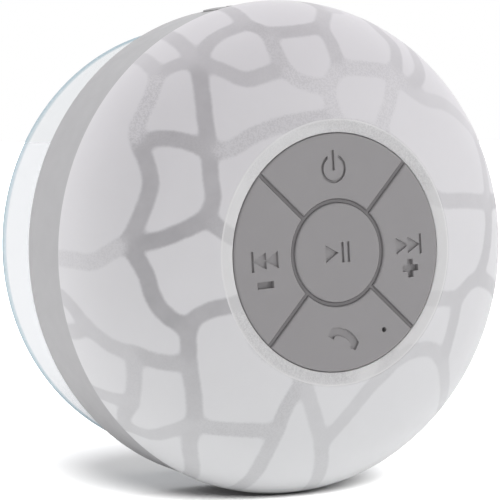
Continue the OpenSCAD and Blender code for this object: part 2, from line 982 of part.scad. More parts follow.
module bluetooth_module() {
    place = [-18.6, 0];
    carrier = [11, 13, 0.8];
    can = [8.6, 9, 1.4];
    color("teal")
        from_wall()
            translate([place[0], place[1], board_z - carrier[2]]) {
                rounded_block(carrier, 0.4);
                translate([0, -1.2, -can[2]])
                    rounded_block(can + [0, 0, hair], 0.5);
            }
}

module amplifier_chip() {
    place = [16.6, 9.4];
    chip = [5, 5, 1.1];
    pin = [0.35, 6.6, 0.2];
    pin_pitch = 1.1;
    color("darkslategray")
        from_wall()
            translate([place[0], place[1], board_z - chip[2]]) {
                rounded_block(chip, 0.2);
                for (i = [-1.5:1.5])
                    translate([i * pin_pitch - pin[0] / 2, -pin[1] / 2, chip[2] - pin[2]])
                        cube(pin);
            }
}

module capacitors() {
    can_r = 2;
    can_h = 4.5;
    places = [[15.2, -6.2], [13.8, -14.6]];
    color("silver")
        from_wall()
            at_places(places)
                disc(can_r, [board_z - can_h, board_z], $fn = fine_fn);
}

// ---- Battery and charging port ----

module battery() {
    color("lightsteelblue")
        from_wall()
            translate([-battery_w / 2, battery_y, battery_z + battery_t / 2])
                rotate([90, 0, 90])
                    linear_extrude(battery_w)
                        rounded_rect([battery_h, battery_t], battery_edge);
}

module battery_pad() {
    inset = 1.6;
    color("dimgray")
        from_wall()
            translate([0, battery_y, baffle_front_z])
                rounded_block([battery_w - inset, battery_h - inset, battery_pad_t], 1);
}

module battery_wires() {
    start_x = battery_w / 2;
    tab_z = battery_z + battery_t - 2;
    color("firebrick")
        from_wall()
            translate([0, battery_y + 3.4, 0])
                rotate([90, 0, 0])
                    lead_pair([
                        [start_x, tab_z],
                        [start_x + 1, tab_z],
                        [start_x + 2, tab_z + 2],
                        [start_x + 2, board_z]
                    ]);
}

module usb_board() {
    color("seagreen")
        from_wall()
            difference() {
                translate([port_x - usb_board_w / 2, usb_board_y[0], usb_board_z])
                    cube([usb_board_w, usb_board_y[1] - usb_board_y[0] - 0.9, usb_board_t]);
                at_places(usb_screw_places)
                    disc(screw_hole_r, [usb_board_z - cutter, usb_board_z + 2 * usb_board_t],
                         $fn = fine_fn);
            }
}

module usb_socket() {
    shell_t = 0.3;
    back_t = 0.8;
    tongue = [3.8, 3.6, 0.6];
    size = usb_socket_size;
    mouth_y = usb_board_y[1];
    floor_z = usb_board_z + usb_board_t;
    color("silver")
        from_wall() {
            difference() {
                along_y(port_x, floor_z + size[2] / 2, [size[0], size[2]], 0.6,
                        [mouth_y - size[1], mouth_y]);
                along_y(port_x, floor_z + size[2] / 2,
                        [size[0] - 2 * shell_t, size[2] - 2 * shell_t], 0.4,
                        [mouth_y - size[1] + back_t, mouth_y + cutter]);
            }
            translate([port_x - tongue[0] / 2, mouth_y - size[1] + back_t - hair,
                       floor_z + size[2] / 2 - tongue[2] / 2])
                cube(tongue);
        }
}

module usb_screws() {
    color("silver")
        from_wall()
            at_places(usb_screw_places)
                mirror([0, 0, 1])
                    screw(screw_r, screw_head_r, screw_head_t, -usb_board_z - usb_board_t,
                          -baffle_screw_end_z, $fn = fine_fn);
}

module usb_wires() {
    color("firebrick")
        from_wall()
            translate([port_x, 0, 0])
                rotate([90, 0, 90])
                    lead_pair([
                        [usb_board_y[0] + 1.4, usb_board_z + usb_board_t],
                        [usb_board_y[0] + 1, usb_board_z + 5],
                        [board_r - 3.6, board_z - 3],
                        [board_r - 3.6, board_z]
                    ]);
}

module port_cover() {
    nose_corner = 0.7;
    pull_lip = [1.2, 3.4];
    color("slategray")
        from_wall() {
            intersection() {
                ring(flap_r, [band_back_z, seam_z]);
                union() {
                    along_y(port_x, flap_z, [flap_w, flap_h], flap_corner,
                            [pad_y, body_r + cutter]);
                    along_y(port_x + flap_w / 2, flap_z, pull_lip, 0.5,
                            [pad_y, body_r + cutter]);
                }
            }
            intersection() {
                disc(flap_r[0] + 0.4, [band_back_z, seam_z]);
                along_y(port_x, socket_z_mid, plug_nose, nose_corner,
                        [plug_nose_r, body_r]);
            }
            translate([pivot_x, pivot_y, flap_z - strap_w / 2])
                cylinder(r = pivot_r, h = strap_w, $fn = fine_fn);
            translate([pivot_x, strap_y, flap_z - strap_w / 2])
                cube([port_x - flap_w / 2 - pivot_x + strap_overlap, strap_t, strap_w]);
        }
}

module port_cover_anchor() {
    tab_mid = (anchor_x[0] + anchor_x[1]) / 2;
    barb = 0.35;
    barb_h = 1.1;
    pin_end = pad_y - 1.2;
    color("slategray")
        from_wall() {
            difference() {
                union() {
                    intersection() {
                        ring(flap_r, [band_back_z, seam_z]);
                        along_y(tab_mid, flap_z, [anchor_x[1] - anchor_x[0], flap_h],
                                flap_corner, [pad_y, body_r + cutter]);
                    }
                    translate([anchor_x[1] - strap_overlap, strap_y, flap_z - strap_w / 2])
                        cube([pivot_x - anchor_x[1] + strap_overlap / 2, strap_t, strap_w]);
                }
                translate([pivot_x, pivot_y, flap_z - strap_w])
                    cylinder(r = pivot_r + running_fit, h = 2 * strap_w, $fn = fine_fn);
            }
            rotate([0, 0, anchor_pin_angle])
                translate([0, 0, flap_z])
                    rotate([-90, 0, 0]) {
                        disc(anchor_pin_r, [pin_end, flap_r[0] + 0.3], $fn = fine_fn);
                        translate([0, 0, pin_end])
                            cylinder(r1 = anchor_pin_r - barb, r2 = anchor_pin_r + barb,
                                     h = barb_h, $fn = fine_fn);
                    }
        }
}

// ---- Driver ----

module frame_profile() {
    skirt = 1.1;
    floor_t = 0.8;
    floor_in_r = coil_r + 1.4;
    ledge_in_r = frame_in_r - 2.2;
    ledge_t = 0.35;
    polygon([
        [frame_in_r, flange_z],
        [flange_r, flange_z],
        [flange_r, flange_z + flange_t],
        [frame_in_r + skirt, flange_z + flange_t],
        [frame_in_r + 0.4, ledge_z + 0.15],
        [magnet_r + 0.1, frame_floor_z + floor_t],
        [floor_in_r, frame_floor_z + floor_t],
        [floor_in_r, frame_floor_z],
        [magnet_r - 0.3, frame_floor_z],
        [ledge_in_r, ledge_z + ledge_t],
        [ledge_in_r, ledge_z],
        [frame_in_r - 0.5, ledge_z],
        [frame_in_r, flange_z + flange_t]
    ]);
}

module driver_frame() {
    windows = 4;
    window = [5, 9, 2.8];
    window_z = flange_z + 1.6;
    color("dimgray")
        from_wall()
            difference() {
                union() {
                    rotate_extrude()
                        frame_profile();
                    at_circle(ear_circle, diagonals)
                        disc(ear_r, [flange_z, flange_z + flange_t], $fn = fine_fn);
                }
                disc(frame_in_r, [flange_z - cutter, flange_z + flange_t]);
                at_circle(ear_circle, diagonals)
                    disc(screw_hole_r, [flange_z - cutter, flange_z + 2 * flange_t],
                         $fn = fine_fn);
                for (i = [1:windows])
                    rotate([0, 0, i * 360 / windows])
                        translate([frame_in_r - 1.6, -window[1] / 2, window_z])
                            cube(window);
            }
}

module driver_gasket() {
    color("black")
        from_wall()
            ring([baffle_hole_r, flange_r - 1], [baffle_front_z, flange_z]);
}

module driver_screws() {
    color("silver")
        from_wall()
            at_circle(ear_circle, diagonals)
                mirror([0, 0, 1])
                    screw(screw_r, screw_head_r, screw_head_t, -flange_z - flange_t,
                          -baffle_screw_end_z, $fn = fine_fn);
}

module driver_top_plate() {
    color("silver")
        from_wall()
            ring([coil_r + 0.8, magnet_r - 1], [magnet_z - plate_t, magnet_z]);
}

module driver_magnet() {
    color("darkslategray")
        from_wall()
            ring([coil_r + 1.8, magnet_r], [magnet_z, magnet_z + magnet_t]);
}

module driver_yoke() {
    color("silver")
        from_wall() {
            disc(magnet_r - 1, [yoke_z, yoke_z + plate_t]);
            disc(coil_r - 0.3, [magnet_z - plate_t, yoke_z + hair]);
        }
}

module voice_coil() {
    winding_t = 0.3;
    winding_z = [frame_floor_z + 0.2, former_z[1] - 0.2];
    color("darkorange")
        from_wall() {
            ring([coil_r, coil_r + former_t], former_z);
            ring([coil_r + former_t - hair, coil_r + former_t + winding_t], winding_z);
        }
}

// A wave between two radii, as one side of a thin corrugated disc
function wave_side(r, z, steps) =
    [for (i = [0:steps]) [r[0] + (r[1] - r[0]) * i / steps,
                          z + spider_wave * sin(360 * spider_waves * i / steps)]];

module driver_spider() {
    steps = 48;
    back = wave_side(spider_r, spider_z, steps);
    front = wave_side(spider_r, spider_z + spider_t, steps);
    color("khaki")
        from_wall()
            rotate_extrude()
                polygon(concat(back, [for (i = [0:steps]) front[steps - i]]));
}

module driver_cone() {
    edge_z = flange_z - 0.05;
    paper = 0.4;
    neck_r = coil_r + former_t + 0.05;
    color("black")
        from_wall()
            rotate_extrude()
                polygon([
                    [cone_r - 1, edge_z],
                    [cone_r, edge_z],
                    [cone_r, edge_z + paper],
                    [cone_r - 0.8, edge_z + paper],
                    [neck_r, former_z[0] + 1.1],
                    [neck_r, former_z[0] + 0.6]
                ]);
}

module driver_surround() {
    roll_z = flange_z - 0.2;
    foot_z = flange_z - surround_foot_t;
    color("dimgray")
        from_wall()
            rotate_extrude() {
                difference() {
                    translate([surround_r, roll_z])
                        circle(r = surround_roll, $fn = fine_fn);
                    translate([surround_r, roll_z])
                        circle(r = surround_roll - surround_foot_t, $fn = fine_fn);
                    translate([surround_r - 2 * surround_roll, roll_z])
                        square([4 * surround_roll, 2 * surround_roll]);
                }
                translate([cone_r - 1, foot_z - 0.05])
                    square([1.2, surround_foot_t]);
                translate([surround_r + surround_roll - 0.2, foot_z])
                    square([1.6, surround_foot_t]);
            }
}

module dust_cap() {
    centre_z = former_z[0] + cap_arc - cap_sag;
    color("black")
        from_wall()
            rotate_extrude()
                intersection() {
                    difference() {
                        translate([0, centre_z])
                            circle(r = cap_arc);
                        translate([0, centre_z])
                            circle(r = cap_arc - cap_t);
                    }
                    translate([0, former_z[0] - cap_sag - cutter])
                        square([cap_base_r, cap_sag + cutter]);
                }
}

module driver_terminals() {
    tag_board = [2.4, 6, 0.8];
    tag_x = flange_r - 3.1;
    color("peru")
        from_wall()
            translate([tag_x, -tag_board[1] / 2, flange_z + flange_t])
                cube(tag_board);
}

module speaker_wires() {
    start = [flange_r - 1.8, flange_z + flange_t + 0.8];
    color("black")
        from_wall()
            rotate([90, 0, 0])
                lead_pair([
                    start,
                    start + [0, 1],
                    start + [1.4, 4],
                    [start[0] + 1.4, board_z]
                ]);
}

suction_cup();
cup_plug();
rear_cover();
rear_cover_gasket();
rear_cover_screws();
speaker_mesh();
rear_shell();
shell_seal();
shell_screws();
front_shell();
bezel_ring();
key_play();
key_power();
key_next();
key_phone();
key_previous();
keypad_web();
keypad_retainer();
retainer_screws();
main_board();
board_screws();
switch_bodies();
plunger_play();
plunger_power();
plunger_next();
plunger_phone();
plunger_previous();
microphone();
status_led();
bluetooth_module();
amplifier_chip();
capacitors();
battery();
battery_pad();
battery_wires();
usb_board();
usb_socket();
usb_screws();
usb_wires();
port_cover();
port_cover_anchor();
driver_frame();
driver_gasket();
driver_screws();
driver_top_plate();
driver_magnet();
driver_yoke();
voice_coil();
driver_spider();
driver_cone();
driver_surround();
dust_cap();
driver_terminals();
speaker_wires();
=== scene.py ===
"""Looks for the round shower speaker: printed dome, engraved keypad, grey band, clear cup.

Shapes are worked out in millimetres in a wall frame, whose Z is the distance out from the
wall and whose Y is up. place() turns them into the part's own frame, in metres.
"""

import json
import math

import bmesh
import bpy
import numpy as np
from mathutils import Matrix, Vector


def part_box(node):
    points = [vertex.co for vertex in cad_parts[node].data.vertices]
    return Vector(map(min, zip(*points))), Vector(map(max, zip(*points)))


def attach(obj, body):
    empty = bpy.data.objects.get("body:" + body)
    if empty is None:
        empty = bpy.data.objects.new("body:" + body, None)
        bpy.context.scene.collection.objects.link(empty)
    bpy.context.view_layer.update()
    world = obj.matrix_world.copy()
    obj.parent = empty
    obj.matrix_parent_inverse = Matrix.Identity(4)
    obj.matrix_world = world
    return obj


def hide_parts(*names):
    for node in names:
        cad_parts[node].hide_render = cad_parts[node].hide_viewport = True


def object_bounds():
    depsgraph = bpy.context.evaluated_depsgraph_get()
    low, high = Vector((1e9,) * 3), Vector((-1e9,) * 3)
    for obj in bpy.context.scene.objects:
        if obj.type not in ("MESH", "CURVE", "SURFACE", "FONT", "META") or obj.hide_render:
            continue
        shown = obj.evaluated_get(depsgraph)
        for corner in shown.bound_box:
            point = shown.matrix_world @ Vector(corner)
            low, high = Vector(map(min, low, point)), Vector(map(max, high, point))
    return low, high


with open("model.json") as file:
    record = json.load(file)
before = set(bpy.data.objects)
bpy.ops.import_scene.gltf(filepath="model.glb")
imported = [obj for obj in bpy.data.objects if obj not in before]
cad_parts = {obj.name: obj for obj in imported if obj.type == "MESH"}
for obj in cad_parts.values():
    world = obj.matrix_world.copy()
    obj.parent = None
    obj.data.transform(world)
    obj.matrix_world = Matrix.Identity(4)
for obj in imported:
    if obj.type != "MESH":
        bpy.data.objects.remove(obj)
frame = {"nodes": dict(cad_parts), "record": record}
cad_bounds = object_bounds()

MM = 0.001
PI = math.pi


def wall_box(node):
    """(lowest, highest) corner of a CAD node in the wall frame, in millimetres."""
    lo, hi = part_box(node)
    low = np.array([lo.x, lo.z, -hi.y]) / MM
    high = np.array([hi.x, hi.z, -lo.y]) / MM
    return low, high


# ---- Sizes taken from the CAD nodes ----

_, BAND_HI = wall_box("rear_shell")
SHELL_LO, _ = wall_box("front_shell")
BEZEL_LO, BEZEL_HI = wall_box("bezel_ring")
PLAY_LO, PLAY_HI = wall_box("key_play")
_, NEXT_HI = wall_box("key_next")
_, CUP_HI = wall_box("suction_cup")

SEAM_Z = BAND_HI[2]
KEYPAD_R = round(NEXT_HI[0], 1)
PLAY_R = round(PLAY_HI[0], 2)
FACE_Z = PLAY_HI[2]
POST_Z = PLAY_LO[2]
BEZEL_IN_R = KEYPAD_R + 0.1
BEZEL_OUT_R = round(BEZEL_HI[0], 1)
BEZEL_Z = (BEZEL_LO[2], BEZEL_HI[2])
CUP_R = CUP_HI[0]

# Dome: a shoulder arc that runs into a flatter crown arc
BODY_R = 43.0
SHOULDER_ARC = 17.0
SHOULDER_Z = SEAM_Z - 0.7
APEX_Z = 52.3
WALL = 2.2
SHOULDER_R = BODY_R - SHOULDER_ARC
CROWN_RISE = APEX_Z - SHOULDER_Z
CROWN_ARC = (SHOULDER_R**2 + CROWN_RISE**2 - SHOULDER_ARC**2) / (
    2 * (CROWN_RISE - SHOULDER_ARC)
)
CROWN_Z = APEX_Z - CROWN_ARC
CROWN_ANGLE = math.atan2(SHOULDER_R, SHOULDER_Z - CROWN_Z)
CROWN_LENGTH = CROWN_ARC * CROWN_ANGLE
SEAM_ANGLE = PI / 2 - math.asin((SEAM_Z - SHOULDER_Z) / SHOULDER_ARC)
SEAM_LENGTH = CROWN_LENGTH + SHOULDER_ARC * (SEAM_ANGLE - CROWN_ANGLE)

# Keypad
KEY_T = 2.15
KEY_GAP = 0.7
KEY_ROUND = 0.35
KEY_STEP = 0.1        # spacing of the points on a key's face
KEY_BACK_Z = FACE_Z - KEY_T
SWITCH_REACH = 14.1   # distance of the outer keys' symbols and posts from the middle
POST_R = 1.5
POST_ROUND = 0.2
POST_SINK = 0.1       # how far a post runs into its key
MIC_PLACE = (8.3, -13.9)
MIC_HOLE_R = 0.42
MIC_FLOOR = 0.3       # what is left of the key under the microphone's hole
DIAGONALS = [PI / 4 + i * PI / 2 for i in range(4)]


# ---- Mesh building ----


def place(points):
    """Wall-frame millimetres to the part's frame in metres: front to -Y, up +Z."""
    points = np.asarray(points, float)
    return np.stack([points[:, 0], -points[:, 2], points[:, 1]], 1) * MM


class Shape:
    """Points in the wall frame and faces, gathered before they become one mesh."""

    def __init__(self):
        self.points = []
        self.faces = []
        self.count = 0

    def add(self, points, faces):
        points = np.asarray(points, float)
        self.points.append(points)
        self.faces += [[int(i) + self.count for i in face] for face in faces]
        self.count += len(points)

    def all_points(self):
        return np.concatenate(self.points)


def add_object(name, data):
    """A new object in the scene."""
    made = bpy.data.objects.new(name, data)
    bpy.context.scene.collection.objects.link(made)
    return made


def make_piece(shape, name, body, material, replaces=(), sharp_angle=50.0, fields=None):
    """One object from a Shape, with outward normals, riding on a CAD body."""
    mesh = bpy.data.meshes.new(name)
    mesh.from_pydata(place(shape.all_points()).tolist(), [], shape.faces)
    for field, values in (fields or {}).items():
        attribute = mesh.attributes.new(field, "FLOAT", "POINT")
        attribute.data.foreach_set("value", np.asarray(values, np.float32))
    work = bmesh.new()
    work.from_mesh(mesh)
    bmesh.ops.remove_doubles(work, verts=work.verts, dist=1e-7)
    bmesh.ops.recalc_face_normals(work, faces=work.faces)
    work.to_mesh(mesh)
    work.free()
    mesh.polygons.foreach_set("use_smooth", [True] * len(mesh.polygons))
    mesh.set_sharp_from_angle(angle=math.radians(sharp_angle))
    piece = add_object(name, mesh)
    mesh.materials.append(material)
    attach(piece, body)
    if replaces:
        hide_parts(*replaces)
    return piece


def ring_faces(rows, columns, close_rows):
    """Quads between neighbouring rows of points, each row a closed ring."""
    last = rows if close_rows else rows - 1
    i = np.arange(last)[:, None]
    j = np.arange(columns)[None, :]
    right = (j + 1) % columns
    below = (i + 1) % rows
    quads = [i * columns + j, i * columns + right, below * columns + right, below * columns + j]
    return np.stack(quads, -1).reshape(-1, 4)


def stack_rings(shape, rows, close_start=False):
    """Rings of points joined one to the next, with a face over the last or over both ends."""
    count = len(rows[0])
    faces = ring_faces(len(rows), count, False).tolist()
    if close_start:
        faces.append(list(range(count)))
    faces.append([(len(rows) - 1) * count + i for i in range(count)])
    shape.add(np.vstack(rows), faces)


def revolve(shape, profile, segments, centre=(0.0, 0.0)):
    """Adds a closed (radius, depth) profile turned about the depth axis."""
    profile = np.asarray(profile, float)
    turn = np.linspace(0, 2 * PI, segments, endpoint=False)
    x = centre[0] + profile[:, :1] * np.cos(turn)
    y = centre[1] + profile[:, :1] * np.sin(turn)
    z = np.repeat(profile[:, 1:], segments, 1)
    points = np.stack([x, y, z], -1).reshape(-1, 3)
    shape.add(points, ring_faces(len(profile), segments, True))


def unit(vector):
    return vector / np.linalg.norm(vector)


def corner_curve(start, corner, end):
    """Five points on a curve that leaves start and reaches end, drawn towards the corner."""
    t = np.linspace(0, 1, 5)[:, None]
    return (1 - t) ** 2 * start + 2 * t * (1 - t) * corner + t**2 * end


def rounded(corners):
    """A closed outline of (x, y, radius) corners with each corner turned into a curve."""
    outline = []
    for i, (x, y, radius) in enumerate(corners):
        corner = np.array([x, y])
        before = np.array(corners[i - 1][:2]) - corner
        after = np.array(corners[(i + 1) % len(corners)][:2]) - corner
        if radius <= 0:
            outline.append(corner)
            continue
        longest = 0.45 * min(np.linalg.norm(before), np.linalg.norm(after))
        reach = min(radius, longest)
        start = corner + reach * unit(before)
        end = corner + reach * unit(after)
        outline.extend(corner_curve(start, corner, end))
    return outline


def box_section(radii, depths):
    """A rectangle as a closed (radius, depth) profile."""
    return [
        (radii[0], depths[0]),
        (radii[1], depths[0]),
        (radii[1], depths[1]),
        (radii[0], depths[1]),
    ]


# ---- The dome's surface, measured along its arc from the axis ----


def dome_at(length, inset=0.0):
    """(radius, depth) of the dome's section at an arc length from the axis."""
    length = np.asarray(length, float)
    crown = np.minimum(length, CROWN_LENGTH) / CROWN_ARC
    crown_r = (CROWN_ARC - inset) * np.sin(crown)
    crown_z = CROWN_Z + (CROWN_ARC - inset) * np.cos(crown)
    shoulder = CROWN_ANGLE + np.maximum(length - CROWN_LENGTH, 0) / SHOULDER_ARC
    shoulder_r = SHOULDER_R + (SHOULDER_ARC - inset) * np.sin(shoulder)
    shoulder_z = SHOULDER_Z + (SHOULDER_ARC - inset) * np.cos(shoulder)
    on_crown = length <= CROWN_LENGTH
    return np.where(on_crown, crown_r, shoulder_r), np.where(on_crown, crown_z, shoulder_z)


def on_dome(flat):
    """Points of the flattened dome, x right and y up, put back on its surface."""
    length = np.hypot(flat[:, 0], flat[:, 1])
    angle = np.arctan2(flat[:, 1], flat[:, 0])
    radius, depth = dome_at(length)
    return np.stack([radius * np.cos(angle), radius * np.sin(angle), depth], 1)


# ---- The printed crackle: a net of soft grey lines round pale cells ----

# Where lines meet, in millimetres from the axis along the flattened dome, x right and y up
JUNCTIONS = {
    1: (-21.5, 35), 2: (-28.5, 34.5), 3: (-22.5, 19), 4: (-34, 21.5), 5: (-37.5, 5),
    6: (-24.5, 8), 7: (-28.5, -10), 8: (-28.5, -16), 9: (-27, -27), 10: (-37.5, -14),
    11: (-39, -31.5), 12: (-12.5, -29.5), 13: (-8.5, -21), 14: (-3.5, -33), 15: (8, -21.5),
    16: (22, -21.5), 17: (25, -10.5), 18: (31, -7.5), 19: (35.5, 5.5), 21: (18.5, 27),
    23: (-10.5, 42), 24: (-7.5, 39), 25: (3.5, 39.5), 26: (4, 31.5), 27: (-7, 32),
    28: (0.5, 28), 29: (16, 30), 30: (-46, -10), 31: (-38, -24), 32: (36, 18.5),
    33: (8, 45.5), 34: (44, -15), 35: (31, -42),
}

# Each line: the junctions and points it runs through, how dark it is, and how speckled
CRACKS = [
    ([1, (-24, 44), (-27, 53)], 0.40, 0.0),
    ([1, (-25, 35.5), 2], 0.45, 0.0),
    ([2, (-31, 41), (-34, 45)], 0.30, 0.0),
    ([1, (-17.5, 39.5), 23], 0.50, 0.1),
    ([23, (-11, 49.5), (-11.5, 53.5)], 0.45, 0.1),
    ([23, 24], 0.55, 0.2),
    ([24, (-1.5, 39), 25], 0.50, 0.1),
    ([25, (5, 41.5), 33, (7, 49), (7, 53.5)], 0.40, 0.1),
    ([33, (12, 45)], 0.20, 0.0),
    ([25, (4, 35.5), 26], 0.40, 0.2),
    ([24, (-7.5, 35.5), 27], 0.40, 0.4),
    ([27, (-11, 31), (-14.5, 30.5), (-17.5, 32.5), 1], 0.45, 0.1),
    ([27, (-4.5, 29.5), 28], 0.25, 0.9),
    ([28, (1, 23.5), (1, 19.5)], 0.20, 1.0),
    ([28, (2.5, 30), 26], 0.20, 0.9),
    ([26, (9, 31), (13, 30.5), 29], 0.25, 0.8),
    ([29, (18, 33), (19.5, 36.5), (18.5, 40.5), (20, 48.5), (20.5, 53)], 0.35, 0.1),
    ([29, (14.5, 27.5), (13, 24.5), (11, 22), (10, 19.5)], 0.20, 1.0),
    ([29, (17, 28.5), 21], 0.25, 0.7),
    ([21, (23, 30), (25.5, 35), (30, 42), (33, 47)], 0.35, 0.0),
    ([21, (22, 25), (27, 24), (32, 21.5), 32], 0.20, 0.0),
    ([32, (36.5, 13.5), (36, 9), 19], 0.30, 0.0),
    ([32, (42, 22), (48, 25.5)], 0.20, 0.0),
    ([19, (28, 6.5), (22, 7), (19, 8.5)], 0.35, 0.1),
    ([19, (40, 5.5), (53.5, 4)], 0.50, 0.0),
    ([19, (35, 1.5), (33.5, -3.5), 18], 0.40, 0.0),
    ([18, (34.5, -9), (37.5, -10.5), 34, (50, -18)], 0.40, 0.0),
    ([34, (45, -27), (41, -36), 35], 0.35, 0.0),
    ([18, (28, -8.5), 17], 0.40, 0.0),
    ([17, (20, -10), (17, -9.5)], 0.35, 0.0),
    ([17, (24, -15), 16], 0.35, 0.0),
    ([16, (19, -19), (14.5, -18.5), (11, -19.5), 15], 0.30, 0.1),
    ([16, (24, -27), (25.5, -31), 35, (35, -46)], 0.25, 0.0),
    ([15, (4.5, -24.5), (0, -29.5), 14], 0.30, 0.0),
    ([15, (9.5, -17)], 0.30, 0.5),
    ([14, (-5, -29), (-7, -24), 13], 0.30, 0.1),
    ([14, (-2.5, -37.5), (-1.5, -43), (-1, -53.5)], 0.35, 0.2),
    ([13, (-11, -25), 12], 0.45, 0.3),
    ([13, (-8, -17.5)], 0.35, 0.8),
    ([12, (-14, -34.5), (-15, -40), (-17.5, -51)], 0.40, 0.2),
    ([12, (-20, -28.5), (-24, -28), 9], 0.40, 0.3),
    ([9, (-27.5, -32), (-26, -40), (-26, -47)], 0.40, 0.1),
    ([9, (-30.5, -29), (-34.5, -31.5), 11], 0.35, 0.1),
    ([11, (-42, -33)], 0.40, 0.0),
    ([9, (-27.5, -21.5), 8], 0.50, 0.1),
    ([8, 7], 0.70, 0.0),
    ([8, (-33, -15.5), 10], 0.50, 0.1),
    ([10, (-41.5, -13), 30], 0.35, 0.1),
    ([30, (-50, -6), (-53, -4.5)], 0.35, 0.0),
    ([30, (-50, -12), (-53, -12)], 0.35, 0.0),
    ([10, (-37.5, -19), 31], 0.35, 0.2),
    ([31, (-40, -29), 11], 0.40, 0.1),
    ([31, (-46, -25), (-48, -24.5)], 0.35, 0.0),
    ([7, (-27, -8), (-24, -7), (-20, -6.5), (-18.5, -6)], 0.70, 0.0),
    ([7, (-32, -7.5), (-34, -4.5), (-35, -0.5), 5], 0.80, 0.0),
    ([5, (-35, 9.5), (-33, 14), (-33, 17.5), 4], 0.65, 0.0),
    ([4, (-34, 24.5), (-31, 29.5), 2], 0.30, 0.9),
    ([4, (-30.5, 22), (-26.5, 21), 3], 0.65, 0.1),
    ([5, (-41, 3.5), (-44, 2), (-48, 2.5), (-53.5, 3)], 0.25, 0.5),
    ([5, (-33, 5), (-28, 6.5), 6], 0.80, 0.0),
    ([6, (-21, 5), (-18.5, 4)], 0.65, 0.1),
    ([6, (-23, 11), (-23, 15), 3], 0.65, 0.0),
    ([3, (-22.5, 24), (-22, 29.5), 1], 0.65, 0.0),
    ([3, (-19, 19), (-14.5, 21), (-8, 22.5), (0, 23)], 0.35, 0.6),
    ([(0, 21.5), (8, 20), (15, 15), (19, 9)], 0.25, 1.0),
    ([(-19.5, -8), (-16, -14.5), (-9, -19), (0, -21)], 0.25, 1.0),
]

CRACK_STEP = 0.3      # spacing of the samples along a line
CRACK_BLEND = 0.42    # how far neighbouring lines run together where they meet
CRACK_HALF = 1.02     # half the width of a line


def smooth_path(knots, spacing):
    """Evenly spaced points on a curve that passes through every knot."""
    knots = np.array(knots, float)
    padded = np.vstack([2 * knots[0] - knots[1], knots, 2 * knots[-1] - knots[-2]])
    points = []
    for before, start, end, after in zip(padded, padded[1:], padded[2:], padded[3:]):
        count = max(2, int(np.linalg.norm(end - start) / spacing))
        t = np.linspace(0, 1, count, endpoint=False)[:, None]
        curve = (
            2 * start
            + (end - before) * t
            + (2 * before - 5 * start + 4 * end - after) * t**2
            + (3 * start - before - 3 * end + after) * t**3
        )
        points.append(curve / 2)
    points.append(knots[-1:])
    return np.vstack(points)


def crack_samples():
    """Places on the dome along every line, with each one's share, darkness and speckle."""
    places, rows = [], []
    for path, ink, grain in CRACKS:
        knots = [JUNCTIONS[p] if isinstance(p, int) else p for p in path]
        line = on_dome(smooth_path(knots, CRACK_STEP))
        gaps = np.linalg.norm(np.diff(line, axis=0), axis=1)
        share = np.zeros(len(line))
        share[:-1] += gaps / 2
        share[1:] += gaps / 2
        places.append(line)
        rows.append(np.stack([share, np.full(len(line), ink), np.full(len(line), grain)], 1))
    return np.vstack(places), np.vstack(rows)


def crack_fields(points):
    """Softened distance to the net, in millimetres, and the ink and grain of what is near."""
    places, rows = crack_samples()
    share, ink, grain = rows.T
    chunk = 4000
    out = []
    for start in range(0, len(points), chunk):
        some = points[start : start + chunk]
        squares = (some**2).sum(1)[:, None] - 2 * some @ places.T + (places**2).sum(1)
        gap = np.sqrt(np.maximum(squares, 1e-9))
        weight = np.exp(-gap / CRACK_BLEND) * share
        total = weight.sum(1) + 1e-30
        distance = -CRACK_BLEND * np.log(total / (2 * CRACK_BLEND))
        out.append(np.stack([distance, weight @ ink / total, weight @ grain / total], 1))
    distance, near_ink, near_grain = np.vstack(out).T
    return {"crack": distance, "ink": near_ink, "grain": near_grain}


# ---- Material building ----


